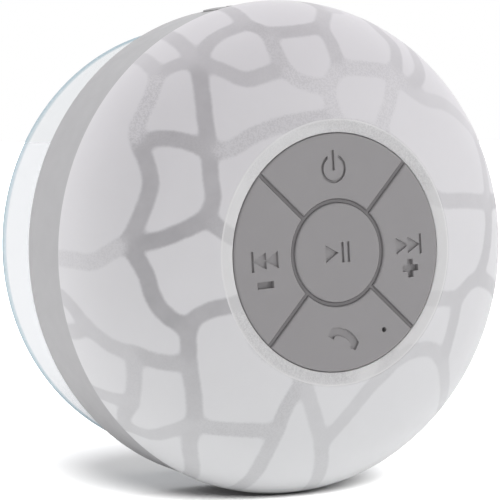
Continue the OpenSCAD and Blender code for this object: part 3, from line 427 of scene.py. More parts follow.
class Nodes:
    """A short way to write a node tree: each call makes one node and links its inputs."""

    def __init__(self, name, world=None):
        self.material = world or bpy.data.materials.new(name)
        self.material.use_nodes = True
        self.tree = self.material.node_tree
        self.tree.nodes.clear()
        kind = "World" if world else "Material"
        self.output = self.tree.nodes.new(f"ShaderNodeOutput{kind}")
        self.place = self.make("ShaderNodeTexCoord").outputs["Object"]

    def link(self, node, key, value):
        socket = node.inputs[key]
        if isinstance(value, bpy.types.NodeSocket):
            self.tree.links.new(value, socket)
        elif isinstance(value, (tuple, list)) and len(value) == 3 and socket.type == "RGBA":
            socket.default_value = (*value, 1.0)
        else:
            socket.default_value = value

    def make(self, kind, settings=None, **inputs):
        node = self.tree.nodes.new(kind)
        for key, value in (settings or {}).items():
            setattr(node, key, value)
        for key, value in inputs.items():
            self.link(node, key.replace("_", " "), value)
        return node

    def maths(self, operation, first, second=0.0, clamp=False):
        node = self.tree.nodes.new("ShaderNodeMath")
        node.operation = operation
        node.use_clamp = clamp
        self.link(node, 0, first)
        self.link(node, 1, second)
        return node.outputs[0]

    def remap(self, value, low, high, to_low, to_high, smooth=False):
        node = self.make("ShaderNodeMapRange", {"clamp": True})
        if smooth:
            node.interpolation_type = "SMOOTHSTEP"
        for i, number in enumerate((value, low, high, to_low, to_high)):
            self.link(node, i, number)
        return node.outputs[0]

    def mix(self, share, first, second, blend="MIX"):
        node = self.tree.nodes.new("ShaderNodeMix")
        node.data_type = "RGBA"
        node.blend_type = blend
        self.link(node, 0, share)
        self.link(node, 6, first)
        self.link(node, 7, second)
        return node.outputs[2]

    def noise(self, size_mm, detail=2.0, roughness=0.5, where=None):
        """Noise whose features are about size_mm across."""
        node = self.make(
            "ShaderNodeTexNoise",
            Vector=where or self.place,
            Scale=1 / (size_mm * MM),
            Detail=detail,
            Roughness=roughness,
        )
        return node.outputs[0]

    def along(self, axis):
        """Where a point lies along one axis, in metres."""
        return self.make("ShaderNodeSeparateXYZ", Vector=self.place).outputs[axis]

    def waves(self, axis, pitch_mm):
        """A sine along one axis."""
        return self.maths("SINE", self.maths("MULTIPLY", self.along(axis), 2 * PI / (pitch_mm * MM)))

    def cells(self, size_mm, settings=None, randomness=1.0):
        """Distances in a net of irregular cells about size_mm across."""
        node = self.make(
            "ShaderNodeTexVoronoi",
            settings,
            Vector=self.place,
            Scale=1 / (size_mm * MM),
            Randomness=randomness,
        )
        return node.outputs["Distance"]

    def attribute(self, name):
        return self.make("ShaderNodeAttribute", {"attribute_name": name}).outputs["Fac"]

    def bump(self, height, depth_mm, strength=1.0):
        node = self.make(
            "ShaderNodeBump", Height=height, Distance=depth_mm * MM, Strength=strength
        )
        return node.outputs[0]

    def surface(self, **inputs):
        """The usual shader, as the material's surface."""
        shader = self.make("ShaderNodeBsdfPrincipled", **inputs)
        self.tree.links.new(shader.outputs[0], self.output.inputs["Surface"])

    def two_surfaces(self, share, first, second):
        """A share of the second shader over the first, as the material's surface."""
        both = self.make("ShaderNodeMixShader")
        self.link(both, 0, share)
        self.tree.links.new(first.outputs[0], both.inputs[1])
        self.tree.links.new(second.outputs[0], both.inputs[2])
        self.tree.links.new(both.outputs[0], self.output.inputs["Surface"])


def shaded(colour, share):
    """A colour made lighter or darker by a share."""
    return tuple(min(1.0, max(0.0, channel * share)) for channel in colour)


def moulded(name, colour, rough, grain_mm=0.25, depth_mm=0.01, mottle=0.04, wear=0.06):
    """Moulded plastic or rubber: fine texture, faint mottling, and scuffs that shine a little."""
    n = Nodes(name)
    cloud = n.noise(6.0, 4.0, 0.6)
    fine = n.noise(grain_mm, 3.0, 0.6)
    tone = n.mix(cloud, shaded(colour, 1 - mottle), shaded(colour, 1 + mottle))
    scuffs = n.remap(n.noise(1.4, 5.0, 0.75), 0.6, 0.72, 0.0, 1.0, True)
    tone = n.mix(n.maths("MULTIPLY", scuffs, wear), tone, shaded(colour, 1.35))
    gloss = n.remap(n.noise(2.5, 3.0), 0.3, 0.7, rough - 0.05, rough + 0.05)
    gloss = n.maths("SUBTRACT", gloss, n.maths("MULTIPLY", scuffs, wear))
    height = n.maths("ADD", fine, n.maths("MULTIPLY", cloud, 0.5))
    n.surface(Base_Color=tone, Roughness=gloss, Normal=n.bump(height, depth_mm))
    return n.material


def metal(name, colour, rough):
    """Metal with fine drawn lines and a faint, uneven tarnish."""
    n = Nodes(name)
    spread = n.make("ShaderNodeMapping", Vector=n.place)
    spread.inputs["Scale"].default_value = (1.0, 1.0 / 12.0, 1.0)
    lines = n.noise(0.3, 3.0, 0.6, spread.outputs[0])
    cloud = n.noise(3.0, 4.0, 0.6)
    tone = n.mix(cloud, shaded(colour, 0.82), shaded(colour, 1.08))
    n.surface(
        Base_Color=tone,
        Metallic=1.0,
        Roughness=n.remap(lines, 0.3, 0.7, rough - 0.08, rough + 0.1),
        Normal=n.bump(lines, 0.004),
    )
    return n.material


def board(name, colour):
    """Solder-masked board with buried tracks and tinned pads."""
    n = Nodes(name)
    tracks = n.remap(n.cells(2.2, {"feature": "DISTANCE_TO_EDGE"}, 0.6), 0.02, 0.05, 1.0, 0.0)
    pad = n.remap(n.cells(2.9, {"distance": "CHEBYCHEV"}, 0.35), 0.12, 0.13, 1.0, 0.0)
    tone = n.mix(tracks, colour, shaded(colour, 2.0))
    tone = n.mix(pad, tone, (0.65, 0.65, 0.62))
    n.surface(
        Base_Color=tone,
        Metallic=pad,
        Roughness=n.remap(n.noise(1.5), 0.3, 0.7, 0.29, 0.43),
        Coat_Weight=0.3,
        Normal=n.bump(tracks, 0.03),
    )
    return n.material


def woven(name, colour, pitch_mm, rough=0.85, depth_mm=0.05):
    """Cloth or mesh: two sets of threads that cross."""
    n = Nodes(name)
    weave = n.maths("MULTIPLY", n.waves("X", pitch_mm), n.waves("Z", pitch_mm))
    thread = n.remap(weave, -1.0, 1.0, 0.0, 1.0)
    fuzz = n.noise(0.08, 2.0)
    # Painted shade and light: darker where the weave dips and paler on the raised threads
    tone = n.mix(thread, shaded(colour, 0.45), shaded(colour, 1.3))
    tone = n.mix(n.maths("MULTIPLY", fuzz, 0.3), tone, shaded(colour, 1.7))
    height = n.maths("ADD", thread, n.maths("MULTIPLY", fuzz, 0.3))
    n.surface(
        Base_Color=tone,
        Roughness=n.remap(fuzz, 0.3, 0.7, rough - 0.08, rough + 0.08),
        Sheen_Weight=0.2,
        Normal=n.bump(height, depth_mm),
    )
    return n.material


def foam(name, colour):
    """Closed-cell foam: small pits."""
    n = Nodes(name)
    depth = n.cells(0.35)
    # Painted shade: darkest at the middle of each pit, where it is deepest
    tone = n.mix(depth, shaded(colour, 0.6), shaded(colour, 1.5))
    n.surface(Base_Color=tone, Roughness=0.95, Normal=n.bump(depth, 0.08))
    return n.material


def winding(name, colour, pitch_mm):
    """Enamelled wire wound in level turns about the depth axis."""
    n = Nodes(name)
    turns = n.waves("Y", pitch_mm)
    # Painted shade: the colour falls to half in the grooves between the turns
    tone = n.mix(n.remap(turns, -1.0, 1.0, 0.0, 1.0), shaded(colour, 0.5), colour)
    n.surface(
        Base_Color=tone,
        Metallic=0.9,
        Roughness=n.remap(n.noise(0.6), 0.3, 0.7, 0.22, 0.4),
        Normal=n.bump(turns, 0.03),
    )
    return n.material


def film(name, colour):
    """Heat-sealed pouch film with soft creases."""
    n = Nodes(name)
    creases = n.noise(3.5, 5.0, 0.6)
    fine = n.noise(0.5, 2.0)
    # Painted light and shade: paler on the raised creases and darker in their hollows
    tone = n.mix(creases, shaded(colour, 0.85), shaded(colour, 1.15))
    n.surface(
        Base_Color=tone,
        Metallic=0.55,
        Roughness=n.remap(fine, 0.3, 0.7, 0.25, 0.4),
        Normal=n.bump(creases, 0.12),
    )
    return n.material


def axis_distance(n):
    """How far a point lies from the speaker's own axis, in millimetres."""
    squares = [n.maths("POWER", n.along(axis), 2.0) for axis in "XZ"]
    return n.maths("DIVIDE", n.maths("SQRT", n.maths("ADD", *squares)), MM)


def clear_pvc(name, tint, edge_tint, rough, rim_r=None):
    """Clear soft PVC: lets sight straight through. Its see-through tint darkens where it is seen
    edge on
    and along a thin band at its rim: painted shade for the light that the plastic bends and reflects
    away there."""
    n = Nodes(name)
    facing = n.make("ShaderNodeLayerWeight", Blend=0.5).outputs["Facing"]
    haze = n.noise(5.0, 4.0, 0.6)
    # Painted shade: the see-through tint darkens where the plastic is seen edge on
    edge = n.remap(facing, 0.72, 0.98, 0.0, 1.0, True)
    tone = n.mix(edge, tint, edge_tint)
    if rim_r is not None:
        # Painted shade: a thin darker band along the rim, where its thin edge bends the light
        rim = n.remap(axis_distance(n), rim_r - RIM_SHADE_W, rim_r - RIM_SHADE_W / 2, 0.0, 1.0)
        tone = n.mix(rim, tone, RIM_SHADE_TINT)
    see = n.make("ShaderNodeBsdfTransparent", Color=tone)
    shell = n.make(
        "ShaderNodeBsdfPrincipled",
        Base_Color=n.mix(haze, shaded(edge_tint, 1.05), tint),
        Roughness=n.remap(haze, 0.3, 0.7, rough, rough + 0.12),
        IOR=1.45,
        Transmission_Weight=0.6,
        Normal=n.bump(n.noise(9.0, 2.0), 0.05, 0.5),
    )
    n.two_surfaces(n.remap(facing, 0.3, 1.0, 0.07, 0.28), see, shell)
    return n.material


def crackle_inks(n):
    """The printed net as a share of ink at each point: soft edged, uneven and speckled."""
    distance = n.attribute("crack")
    wander = n.remap(n.noise(1.6, 3.0, 0.6), 0.0, 1.0, -0.16, 0.16)
    fray = n.remap(n.noise(0.35, 2.0, 0.7), 0.0, 1.0, -0.22, 0.22)
    grain = n.attribute("grain")
    frayed = n.maths("MULTIPLY", fray, n.remap(grain, 0.0, 1.0, 0.35, 1.6))
    edge = n.maths("ADD", n.maths("ADD", distance, wander), frayed)
    line = n.remap(edge, CRACK_HALF - 0.34, CRACK_HALF + 0.26, 1.0, 0.0, True)
    dots = n.remap(n.noise(0.32, 1.5, 0.6), 0.42, 0.6, 0.0, 1.0, True)
    speckle = n.mix(grain, (1.0, 1.0, 1.0), n.remap(dots, 0.0, 1.0, 0.42, 1.25))
    cloud = n.remap(n.noise(3.5, 3.0, 0.6), 0.25, 0.75, 0.88, 1.1)
    inked = n.maths("MULTIPLY", n.maths("MULTIPLY", line, n.attribute("ink")), cloud)
    return n.maths("MULTIPLY", inked, speckle)


def printed_dome(name, cell, ink):
    """Soft-touch dome with the crackle printed under its coat, and a painted light tint that shifts
    from its bottom to its top.
    """
    n = Nodes(name)
    inked = crackle_inks(n)
    cloud = n.noise(9.0, 4.0, 0.6)
    speck = n.noise(0.22, 2.0)
    base = n.mix(cloud, shaded(cell, 0.975), shaded(cell, 1.02))
    base = n.mix(n.maths("MULTIPLY", speck, 0.05), base, shaded(cell, 0.9))
    # Painted light: the colour shifts a little from the dome's bottom to its top, standing in for
    # the tint of the light from below and from above
    share = n.remap(n.along("Z"), -BODY_R * MM, BODY_R * MM, 0.0, 1.0)
    painted_light_tint = n.mix(share, DOME_LIGHT_TINT_LOW, DOME_LIGHT_TINT_HIGH)
    tone = n.mix(1.0, n.mix(inked, base, ink), painted_light_tint, "MULTIPLY")
    n.surface(
        Base_Color=tone,
        Roughness=n.remap(n.noise(1.2, 3.0), 0.3, 0.7, 0.4, 0.5),
        Subsurface_Weight=0.12,
        Subsurface_Radius=(0.0012, 0.0012, 0.0013),
        Specular_IOR_Level=0.45,
        Coat_Weight=0.12,
        Coat_Roughness=0.35,
        Normal=n.bump(speck, 0.006),
    )
    return n.material


def frosted_bezel(name, clear, ink):
    """Frosted ring that the crackle shows through faintly, with a painted highlight along its outer
    edge.
    """
    n = Nodes(name)
    inked = n.maths("MULTIPLY", crackle_inks(n), 0.5)
    frost = n.noise(0.25, 3.0, 0.7)
    grain = n.attribute("grain")
    frost_share = n.maths("MULTIPLY", n.remap(frost, 0.35, 0.65, 0.0, 0.35), grain)
    base = n.mix(n.noise(4.0, 3.0), shaded(clear, 0.97), shaded(clear, 1.03))
    tone = n.mix(n.maths("ADD", inked, frost_share, True), base, ink)
    # Painted highlight: paler towards the outer edge, where the ring's rounded rim catches the light
    edge = n.remap(axis_distance(n), BEZEL_OUT_R - BEZEL_HIGHLIGHT_W, BEZEL_OUT_R, 0.0, 0.7, True)
    tone = n.mix(edge, tone, shaded(clear, 1.22))
    n.surface(
        Base_Color=tone,
        Roughness=n.remap(frost, 0.3, 0.7, 0.28, 0.42),
        Subsurface_Weight=0.25,
        Subsurface_Radius=(0.0015, 0.0015, 0.0016),
        Coat_Weight=0.3,
        Coat_Roughness=0.2,
        Normal=n.bump(frost, 0.01),
    )
    return n.material


# Colours as shares of red, green and blue
BAND_GREY = (0.43, 0.425, 0.435)
KEY_GREY = (0.30, 0.289, 0.296)
DOME_CELL = (0.72, 0.715, 0.725)
DOME_INK = (0.36, 0.352, 0.365)
# painted light tints for the dome's bottom and top
DOME_LIGHT_TINT_LOW = (0.985, 1.0, 1.0)
DOME_LIGHT_TINT_HIGH = (1.0, 0.975, 1.0)
BEZEL_CLEAR = (0.69, 0.685, 0.69)
BEZEL_HIGHLIGHT_W = 0.45   # width of the painted highlight along the ring's outer edge, in millimetres
RIM_SHADE_W = 0.5        # width of the painted dark line along the cup's rim, in millimetres
# tint of the painted dark line along the cup's rim
RIM_SHADE_TINT = (0.66, 0.74, 0.78)

MATERIALS = {
    "cup_pvc": clear_pvc(
        "clear_pvc", (0.932, 0.938, 0.947), (0.56, 0.64, 0.68), 0.05, rim_r=CUP_R
    ),
    "clear_plastic": clear_pvc("clear_stub", (0.93, 0.95, 0.96), (0.7, 0.76, 0.8), 0.12),
    "band_plastic": moulded("band_satin", BAND_GREY, 0.42, 0.3, 0.008),
    "dome_print": printed_dome("dome_crackle", DOME_CELL, DOME_INK),
    "bezel_plastic": frosted_bezel("bezel_frost", BEZEL_CLEAR, DOME_INK),
    "key_rubber": moulded("key_silicone", KEY_GREY, 0.5, 0.12, 0.006, 0.02, 0.05),
    # Darker than the keys: painted shade for the grooves between the keys, which the web and the
    # skirts fill
    "web_rubber": moulded("web_silicone_groove_shade", (0.19, 0.182, 0.187), 0.6, 0.12, 0.006, 0.02, 0.0),
    "flap_rubber": moulded("flap_silicone", (0.33, 0.322, 0.328), 0.55, 0.15, 0.008),
    "seal_rubber": moulded("seal_black", (0.035, 0.035, 0.037), 0.7, 0.15, 0.01),
    "mesh_fabric": woven("speaker_weave", (0.07, 0.07, 0.075), 0.5),
    "inner_plastic": moulded("inner_white", (0.72, 0.72, 0.71), 0.5, 0.4, 0.01),
    "screw_steel": metal("screw_zinc", (0.62, 0.62, 0.64), 0.32),
    "board_resin": board("board_green", (0.02, 0.16, 0.06)),
    "module_board": board("module_teal", (0.02, 0.09, 0.16)),
    "switch_plastic": moulded("switch_black", (0.03, 0.03, 0.033), 0.45, 0.2, 0.006),
    "plunger_plastic": moulded("plunger_grey", (0.68, 0.68, 0.69), 0.4, 0.2, 0.004),
    "can_metal": metal("can_nickel", (0.74, 0.74, 0.76), 0.24),
    "led_lens": clear_pvc("led_clear", (0.8, 0.88, 0.96), (0.5, 0.62, 0.75), 0.05),
    "battery_film": film("battery_pouch", (0.62, 0.64, 0.67)),
    "foam": foam("pad_foam", (0.08, 0.08, 0.08)),
    "wire_red": moulded("wire_red", (0.5, 0.04, 0.03), 0.4, 0.3, 0.005),
    "wire_black": moulded("wire_black", (0.03, 0.03, 0.03), 0.4, 0.3, 0.005),
    "frame_steel": moulded("frame_enamel", (0.05, 0.05, 0.053), 0.35, 0.25, 0.01, 0.08, 0.1),
    "plate_steel": metal("plate_zinc", (0.56, 0.56, 0.58), 0.35),
    "magnet_ferrite": moulded("magnet_ferrite", (0.06, 0.06, 0.064), 0.6, 0.15, 0.02, 0.15),
    "coil_copper": winding("coil_turns", (0.72, 0.34, 0.14), 0.16),
    "spider_cloth": woven("spider_weave", (0.52, 0.38, 0.14), 0.45),
    "cone_paper": woven("cone_paper", (0.035, 0.035, 0.038), 0.7, 0.8, 0.02),
    "tag_board": moulded("tag_phenolic", (0.30, 0.15, 0.06), 0.55, 0.3, 0.01),
}

SLOT_OF = {part["node"]: part["material_slot"] for part in frame["record"]["subparts"]}


def material_of(node):
    return MATERIALS[SLOT_OF[node]]


# ---- Dome and bezel ----

DOME_COLUMNS = 760
DOME_STEP = 0.36      # spacing of the rings of points on the dome
SEAM_ROUND = 0.22
OPENING_ROUND = 0.08
OPENING_R = BEZEL_OUT_R - 0.01
SHELF_Z = BEZEL_Z[0] - 1.0
SHELF_IN_R = KEYPAD_R + 0.3
TONGUE_R = (38.4, 40.3)
TONGUE_Z = SEAM_Z - 2.9
TONGUE_ROOT_Z = SEAM_Z + 1.5
BOSS_CIRCLE = 30.0    # the four long screws' bosses
BOSS_R = (1.02, 2.6)
BOSS_SINK = 0.4       # how far their tops run into the shell
RETAINER_CIRCLE = 24.6
RETAINER_BOSS_R = (0.82, 1.9)
RETAINER_BOSS_Z = (SHELF_Z - 0.6, SHELF_Z + 0.2)
BEZEL_COLUMNS = 480
BEZEL_CROWN = 0.14    # how much lower the ring is at its inner edge
BEZEL_MARGIN = 0.25   # keeps the crown's points clear of the rounded edges
BEZEL_ROUND = (0.3, 0.1)


def dome_profile():
    """The printed shell's section: outer skin, opening, shelf, inner skin and tongue."""
    opening_s = CROWN_ARC * math.asin(OPENING_R / CROWN_ARC)
    first, last = opening_s + OPENING_ROUND, SEAM_LENGTH - SEAM_ROUND
    lengths = np.linspace(last, first, int((last - first) / DOME_STEP))
    outer = np.stack(dome_at(lengths), 1)
    opening = np.array([OPENING_R, dome_at(opening_s)[1]])
    lip = corner_curve(outer[-1], opening, opening - [0.0, OPENING_ROUND])
    edge = np.array([dome_at(SEAM_LENGTH)[0], SEAM_Z])
    seam = corner_curve(edge - [SEAM_ROUND, 0.0], edge, outer[0])
    shelf_r = math.sqrt((CROWN_ARC - WALL) ** 2 - (SHELF_Z - CROWN_Z) ** 2)
    inner_start = CROWN_ARC * math.asin(shelf_r / (CROWN_ARC - WALL))
    root_angle = PI / 2 - math.asin((TONGUE_ROOT_Z - SHOULDER_Z) / (SHOULDER_ARC - WALL))
    inner_end = CROWN_LENGTH + SHOULDER_ARC * (root_angle - CROWN_ANGLE)
    inner = np.stack(dome_at(np.linspace(inner_start, inner_end, 28), WALL), 1)
    shelf = [[OPENING_R, BEZEL_Z[0]], [SHELF_IN_R, BEZEL_Z[0]], [SHELF_IN_R, SHELF_Z]]
    tongue = [
        [TONGUE_R[0], TONGUE_ROOT_Z],
        [TONGUE_R[0], TONGUE_Z],
        [TONGUE_R[1], TONGUE_Z],
        [TONGUE_R[1], SEAM_Z],
    ]
    return np.vstack([outer[1:], lip[1:], shelf, inner, tongue, seam])


def around(circle, angle):
    """A place on a circle about the axis."""
    return circle * math.cos(angle), circle * math.sin(angle)


def build_dome():
    """The printed shell with its screw bosses."""
    shape = Shape()
    revolve(shape, dome_profile(), DOME_COLUMNS)
    boss_top = float(dome_at(BOSS_CIRCLE, WALL)[1]) + BOSS_SINK
    boss = box_section(BOSS_R, (SHELL_LO[2], boss_top))
    retainer_boss = box_section(RETAINER_BOSS_R, RETAINER_BOSS_Z)
    for angle in DIAGONALS:
        revolve(shape, boss, 40, around(BOSS_CIRCLE, angle))
        revolve(shape, retainer_boss, 32, around(RETAINER_CIRCLE, angle - PI / 8))
    return make_piece(
        shape, "printed_dome", "speaker", material_of("front_shell"),
        ("front_shell",), fields=crack_fields(shape.all_points()),
    )


def build_bezel():
    """The frosted ring round the keypad, crowned a little and rounded on both edges."""
    crown_z = BEZEL_Z[1] - BEZEL_CROWN
    corners = [(BEZEL_IN_R, BEZEL_Z[0], 0.0), (BEZEL_IN_R, crown_z, BEZEL_ROUND[0])]
    for t in np.linspace(0, 1, 13):
        radius = BEZEL_IN_R + (BEZEL_OUT_R - BEZEL_IN_R) * t
        if BEZEL_IN_R + BEZEL_MARGIN < radius < BEZEL_OUT_R - BEZEL_MARGIN:
            corners.append((radius, BEZEL_Z[1] - BEZEL_CROWN * (1 - t) ** 2, 0.0))
    corners += [(BEZEL_OUT_R, BEZEL_Z[1], BEZEL_ROUND[1]), (BEZEL_OUT_R, BEZEL_Z[0], 0.0)]
    shape = Shape()
    revolve(shape, rounded(corners), BEZEL_COLUMNS)
    points = shape.all_points()
    lifted = np.sqrt(CROWN_ARC**2 - (points[:, :2] ** 2).sum(1)) + CROWN_Z
    on_crown = np.column_stack([points[:, :2], lifted])
    return make_piece(
        shape, "frosted_bezel", "speaker", material_of("bezel_ring"),
        ("bezel_ring",), fields=crack_fields(on_crown),
    )


# ---- Legends, as signed distances that are negative inside a shape ----

LEGEND_DEPTH = 0.4
LEGEND_WALL = 0.02    # how far a wall leans over its depth, to each side of the outline
STROKE = 0.45
BAR_H = 3.4
POWER_R = 2.18
POWER_OPENING = 1.05
POINTER_W = 2.45
SIGN_DEPTH = 0.8
SIGN_PLACE = (14.3, -4.0)
SIGN_SIZE = 3.1
PLUS_STROKE = 1.05
MINUS_STROKE = 1.1
HANDSET_PLACE = (-0.25, -15.3)
HANDSET_TILT = -29.0
# Half width, height and arc of the handset's back, and of the hollow under it
HANDSET_BACK = (3.0, 2.45, 5.2)
HANDSET_HOLLOW = (1.8, 1.13, 3.15)


def box_gap(x, y, centre, size):
    """Distance to an upright bar of a given size."""
    dx = np.abs(x - centre[0]) - size[0] / 2
    dy = np.abs(y - centre[1]) - size[1] / 2
    outside = np.hypot(np.maximum(dx, 0), np.maximum(dy, 0))
    return outside + np.minimum(np.maximum(dx, dy), 0)


def pointer_gap(x, y, length, height):
    """Distance to a triangle from (0, +-height / 2) to the point (length, 0)."""
    normal = unit(np.array([height / 2, length]))
    side = (x - length) * normal[0] + np.abs(y) * normal[1]
    return np.maximum(side, -x)


def power_gap(x, y):
    circle = np.abs(np.hypot(x, y) - POWER_R) - STROKE / 2
    arc = np.maximum(circle, np.where(y > 0, POWER_OPENING - np.abs(x), -1.0))
    stem = box_gap(x, y, (0.0, 1.4), (STROKE, BAR_H))
    return np.minimum(arc, stem)


def play_pause_gap(x, y):
    gap = pointer_gap(x + 2.4, y, 2.4, 2.9)
    for at in (0.9, 2.05):
        gap = np.minimum(gap, box_gap(x, y, (at, 0.0), (STROKE, BAR_H)))
    return gap


def skip_gap(x, y):
    gap = box_gap(x, y, (POINTER_W, 0.0), (STROKE, BAR_H))
    for at in (-POINTER_W, -0.15):
        gap = np.minimum(gap, pointer_gap(x - at, y, POINTER_W, 2.8))
    return gap


def turned(x, y, degrees):
    cosine, sine = math.cos(math.radians(degrees)), math.sin(math.radians(degrees))
    return x * cosine + y * sine, -x * sine + y * cosine


def arch_gap(x, y, sizes):
    """Distance to an upright strip with an arched top."""
    half_width, height, arc = sizes
    return np.maximum(np.hypot(x, y - height + arc) - arc, np.abs(x) - half_width)


def handset_gap(x, y):
    """A telephone handset: an arched back with a straight end on either side, tilted."""
    x, y = turned(x, y, HANDSET_TILT)
    back = np.maximum(arch_gap(x, y, HANDSET_BACK), -y)
    return np.maximum(back, -arch_gap(x, y, HANDSET_HOLLOW))


def legend_gap(key, x, y):
    """Distance to the engraved legend of a key."""
    if key == "play":
        return play_pause_gap(x, y)
    if key == "power":
        return power_gap(x, y - SWITCH_REACH)
    if key == "phone":
        return handset_gap(x - HANDSET_PLACE[0], y - HANDSET_PLACE[1])
    mirror = -1 if key == "previous" else 1
    return skip_gap(mirror * x - SWITCH_REACH, y)


def sign_gap(key, x, y):
    """Distance to the deeper plus or minus under a skip legend."""
    if key == "previous":
        return box_gap(x, y, (-SIGN_PLACE[0], SIGN_PLACE[1]), (SIGN_SIZE, MINUS_STROKE))
    level = box_gap(x, y, SIGN_PLACE, (SIGN_SIZE, PLUS_STROKE))
    return np.minimum(level, box_gap(x, y, SIGN_PLACE, (PLUS_STROKE, SIGN_SIZE)))


# ---- Keys ----

OUTER_KEYS = {"next": 0, "power": 90, "previous": 180, "phone": -90}   # and their turns
EDGE_STEPS = np.array([0.0, 0.03, 0.08, 0.15, 0.24])   # points across a rounded edge
KEY_COLUMNS = 420
KEY_CHAMFER = 0.12
SKIRT_W = 0.62
SKIRT_DEPTHS = (1.6, 0.36)    # the skirts' back and front, behind the keys' faces
SKIRT_ROUND = 0.12
SKIRT_ROWS = 24


def steps_between(low, high):
    """Even steps with a few closer ones at both ends, where the edge is rounded."""
    count = max(8, int((high - low - 2 * KEY_ROUND) / KEY_STEP))
    middle = np.linspace(low + KEY_ROUND, high - KEY_ROUND, count)
    return np.concatenate([low + EDGE_STEPS, middle, high - EDGE_STEPS[::-1]])


def edge_drop(gap):
    """How far a face falls towards its rounded edge."""
    inside = np.clip(KEY_ROUND - gap, 0, KEY_ROUND)
    return KEY_ROUND - np.sqrt(np.maximum(KEY_ROUND**2 - inside**2, 0))


def cuts_in(key):
    """(distance function, depth) of everything sunk into a key's face."""
    cuts = [(lambda x, y: legend_gap(key, x, y), LEGEND_DEPTH)]
    if key in ("next", "previous"):
        cuts.append((lambda x, y: sign_gap(key, x, y), SIGN_DEPTH))
    if key == "phone":
        cuts.append((
            lambda x, y: np.hypot(x - MIC_PLACE[0], y - MIC_PLACE[1]) - MIC_HOLE_R,
            KEY_T - MIC_FLOOR,
        ))
    return cuts


def snapped(x, y, cut):
    """Moves points that lie near a cut's outline onto one side of its wall or the other."""
    probe = 0.01
    gap = cut(x, y)
    slope_x = (cut(x + probe, y) - gap) / probe
    slope_y = (cut(x, y + probe) - gap) / probe
    near = np.abs(gap) < KEY_STEP
    shift = np.where(near, np.where(gap >= 0, LEGEND_WALL, -LEGEND_WALL) - gap, 0.0)
    return x + shift * slope_x, y + shift * slope_y


def engraved(key, x, y, gap):
    """A key's face as points: rounded edge, and legends with upright walls."""
    depth = FACE_Z - edge_drop(gap)
    for cut, sink in cuts_in(key):
        x, y = snapped(x, y, cut)
        depth = np.where(cut(x, y) < 0, FACE_Z - sink, depth)
    return np.stack([x, y, depth], -1)


def add_walls(shape, rim):
    """Straight walls under a closed rim of points, and the flat back that closes them."""
    levels = np.linspace(FACE_Z - KEY_ROUND, KEY_BACK_Z + KEY_CHAMFER, 4)
    rows = [np.column_stack([rim[:, :2], np.full(len(rim), z)]) for z in levels]
    radius = np.maximum(np.hypot(rim[:, 0], rim[:, 1]), 1)
    inner = rim[:, :2] * (1 - KEY_CHAMFER / radius)[:, None]
    rows.append(np.column_stack([inner, np.full(len(rim), KEY_BACK_Z)]))
    stack_rings(shape, rows)


def add_post(shape, at):
    """The post that reaches from a key's back to its switch."""
    corners = [
        (0.0, POST_Z, 0.0),
        (POST_R, POST_Z, POST_ROUND),
        (POST_R, KEY_BACK_Z + POST_SINK, 0.0),
        (0.0, KEY_BACK_Z + POST_SINK, 0.0),
    ]
    revolve(shape, rounded(corners), 40, at)


def make_key(shape, key):
    """A key's piece, in place of its CAD node and riding on its body."""
    node = f"key_{key}"
    return make_piece(
        shape, f"{node}_face", node, material_of(node), (node,), 60.0
    )


def build_round_key():
    """The middle key: rings of points under a flat, engraved face."""
    radii = np.concatenate([[0.0], steps_between(0.12, PLAY_R)])
    turn = np.linspace(0, 2 * PI, KEY_COLUMNS, endpoint=False)
    x = radii[:, None] * np.cos(turn)
    y = radii[:, None] * np.sin(turn)
    gap = np.repeat(PLAY_R - radii[:, None], KEY_COLUMNS, 1)
    shape = Shape()
    grid = engraved("play", x, y, gap)
    shape.add(grid.reshape(-1, 3), ring_faces(len(radii), KEY_COLUMNS, False))
    add_walls(shape, grid[-1])
    add_post(shape, (0.0, 0.0))
    return make_key(shape, "play")


def build_outer_key(key, turn):
    """One quarter of the keypad outside the round groove."""
    inner_r = PLAY_R + KEY_GAP
    radii = steps_between(inner_r, KEYPAD_R)[:, None]
    half = PI / 4 - np.arcsin(KEY_GAP / 2 / radii)
    share = np.linspace(-1, 1, int(KEYPAD_R * PI / 2 / (KEY_STEP * 1.1)))
    close = EDGE_STEPS / radii
    middle = share * (half - KEY_ROUND / radii)
    angle = np.hstack([-half + close, middle, half - close[:, ::-1]])
    rows, wide = angle.shape
    x = radii * np.cos(angle)
    y = radii * np.sin(angle)
    sides = np.stack([
        np.repeat(KEYPAD_R - radii, wide, 1),
        np.repeat(radii - inner_r, wide, 1),
        (x - np.abs(y)) / math.sqrt(2) - KEY_GAP / 2,
    ])
    blend = 0.04
    gap = -blend * np.log(np.exp(-np.maximum(sides, 0) / blend).sum(0))
    x, y = turned(x, y, -turn)
    grid = engraved(key, x, y, np.maximum(gap, 0))
    corner = np.arange(rows - 1)[:, None] * wide + np.arange(wide - 1)[None, :]
    quads = np.stack([corner, corner + 1, corner + wide + 1, corner + wide], -1).reshape(-1, 4)
    shape = Shape()
    shape.add(grid.reshape(-1, 3), quads)
    add_walls(shape, np.vstack([grid[0, :-1], grid[:-1, -1], grid[-1, :0:-1], grid[:0:-1, 0]]))
    add_post(shape, around(SWITCH_REACH, math.radians(turn)))
    return make_key(shape, key)


def skirt_section(middle):
    """The skirts' cross section as (distance, depth), with its middle at a distance."""
    low, high = FACE_Z - SKIRT_DEPTHS[0], FACE_Z - SKIRT_DEPTHS[1]
    left, right = middle - SKIRT_W / 2, middle + SKIRT_W / 2
    return rounded([
        (left, low, 0.0), (right, low, 0.0), (right, high, SKIRT_ROUND), (left, high, SKIRT_ROUND)
    ])


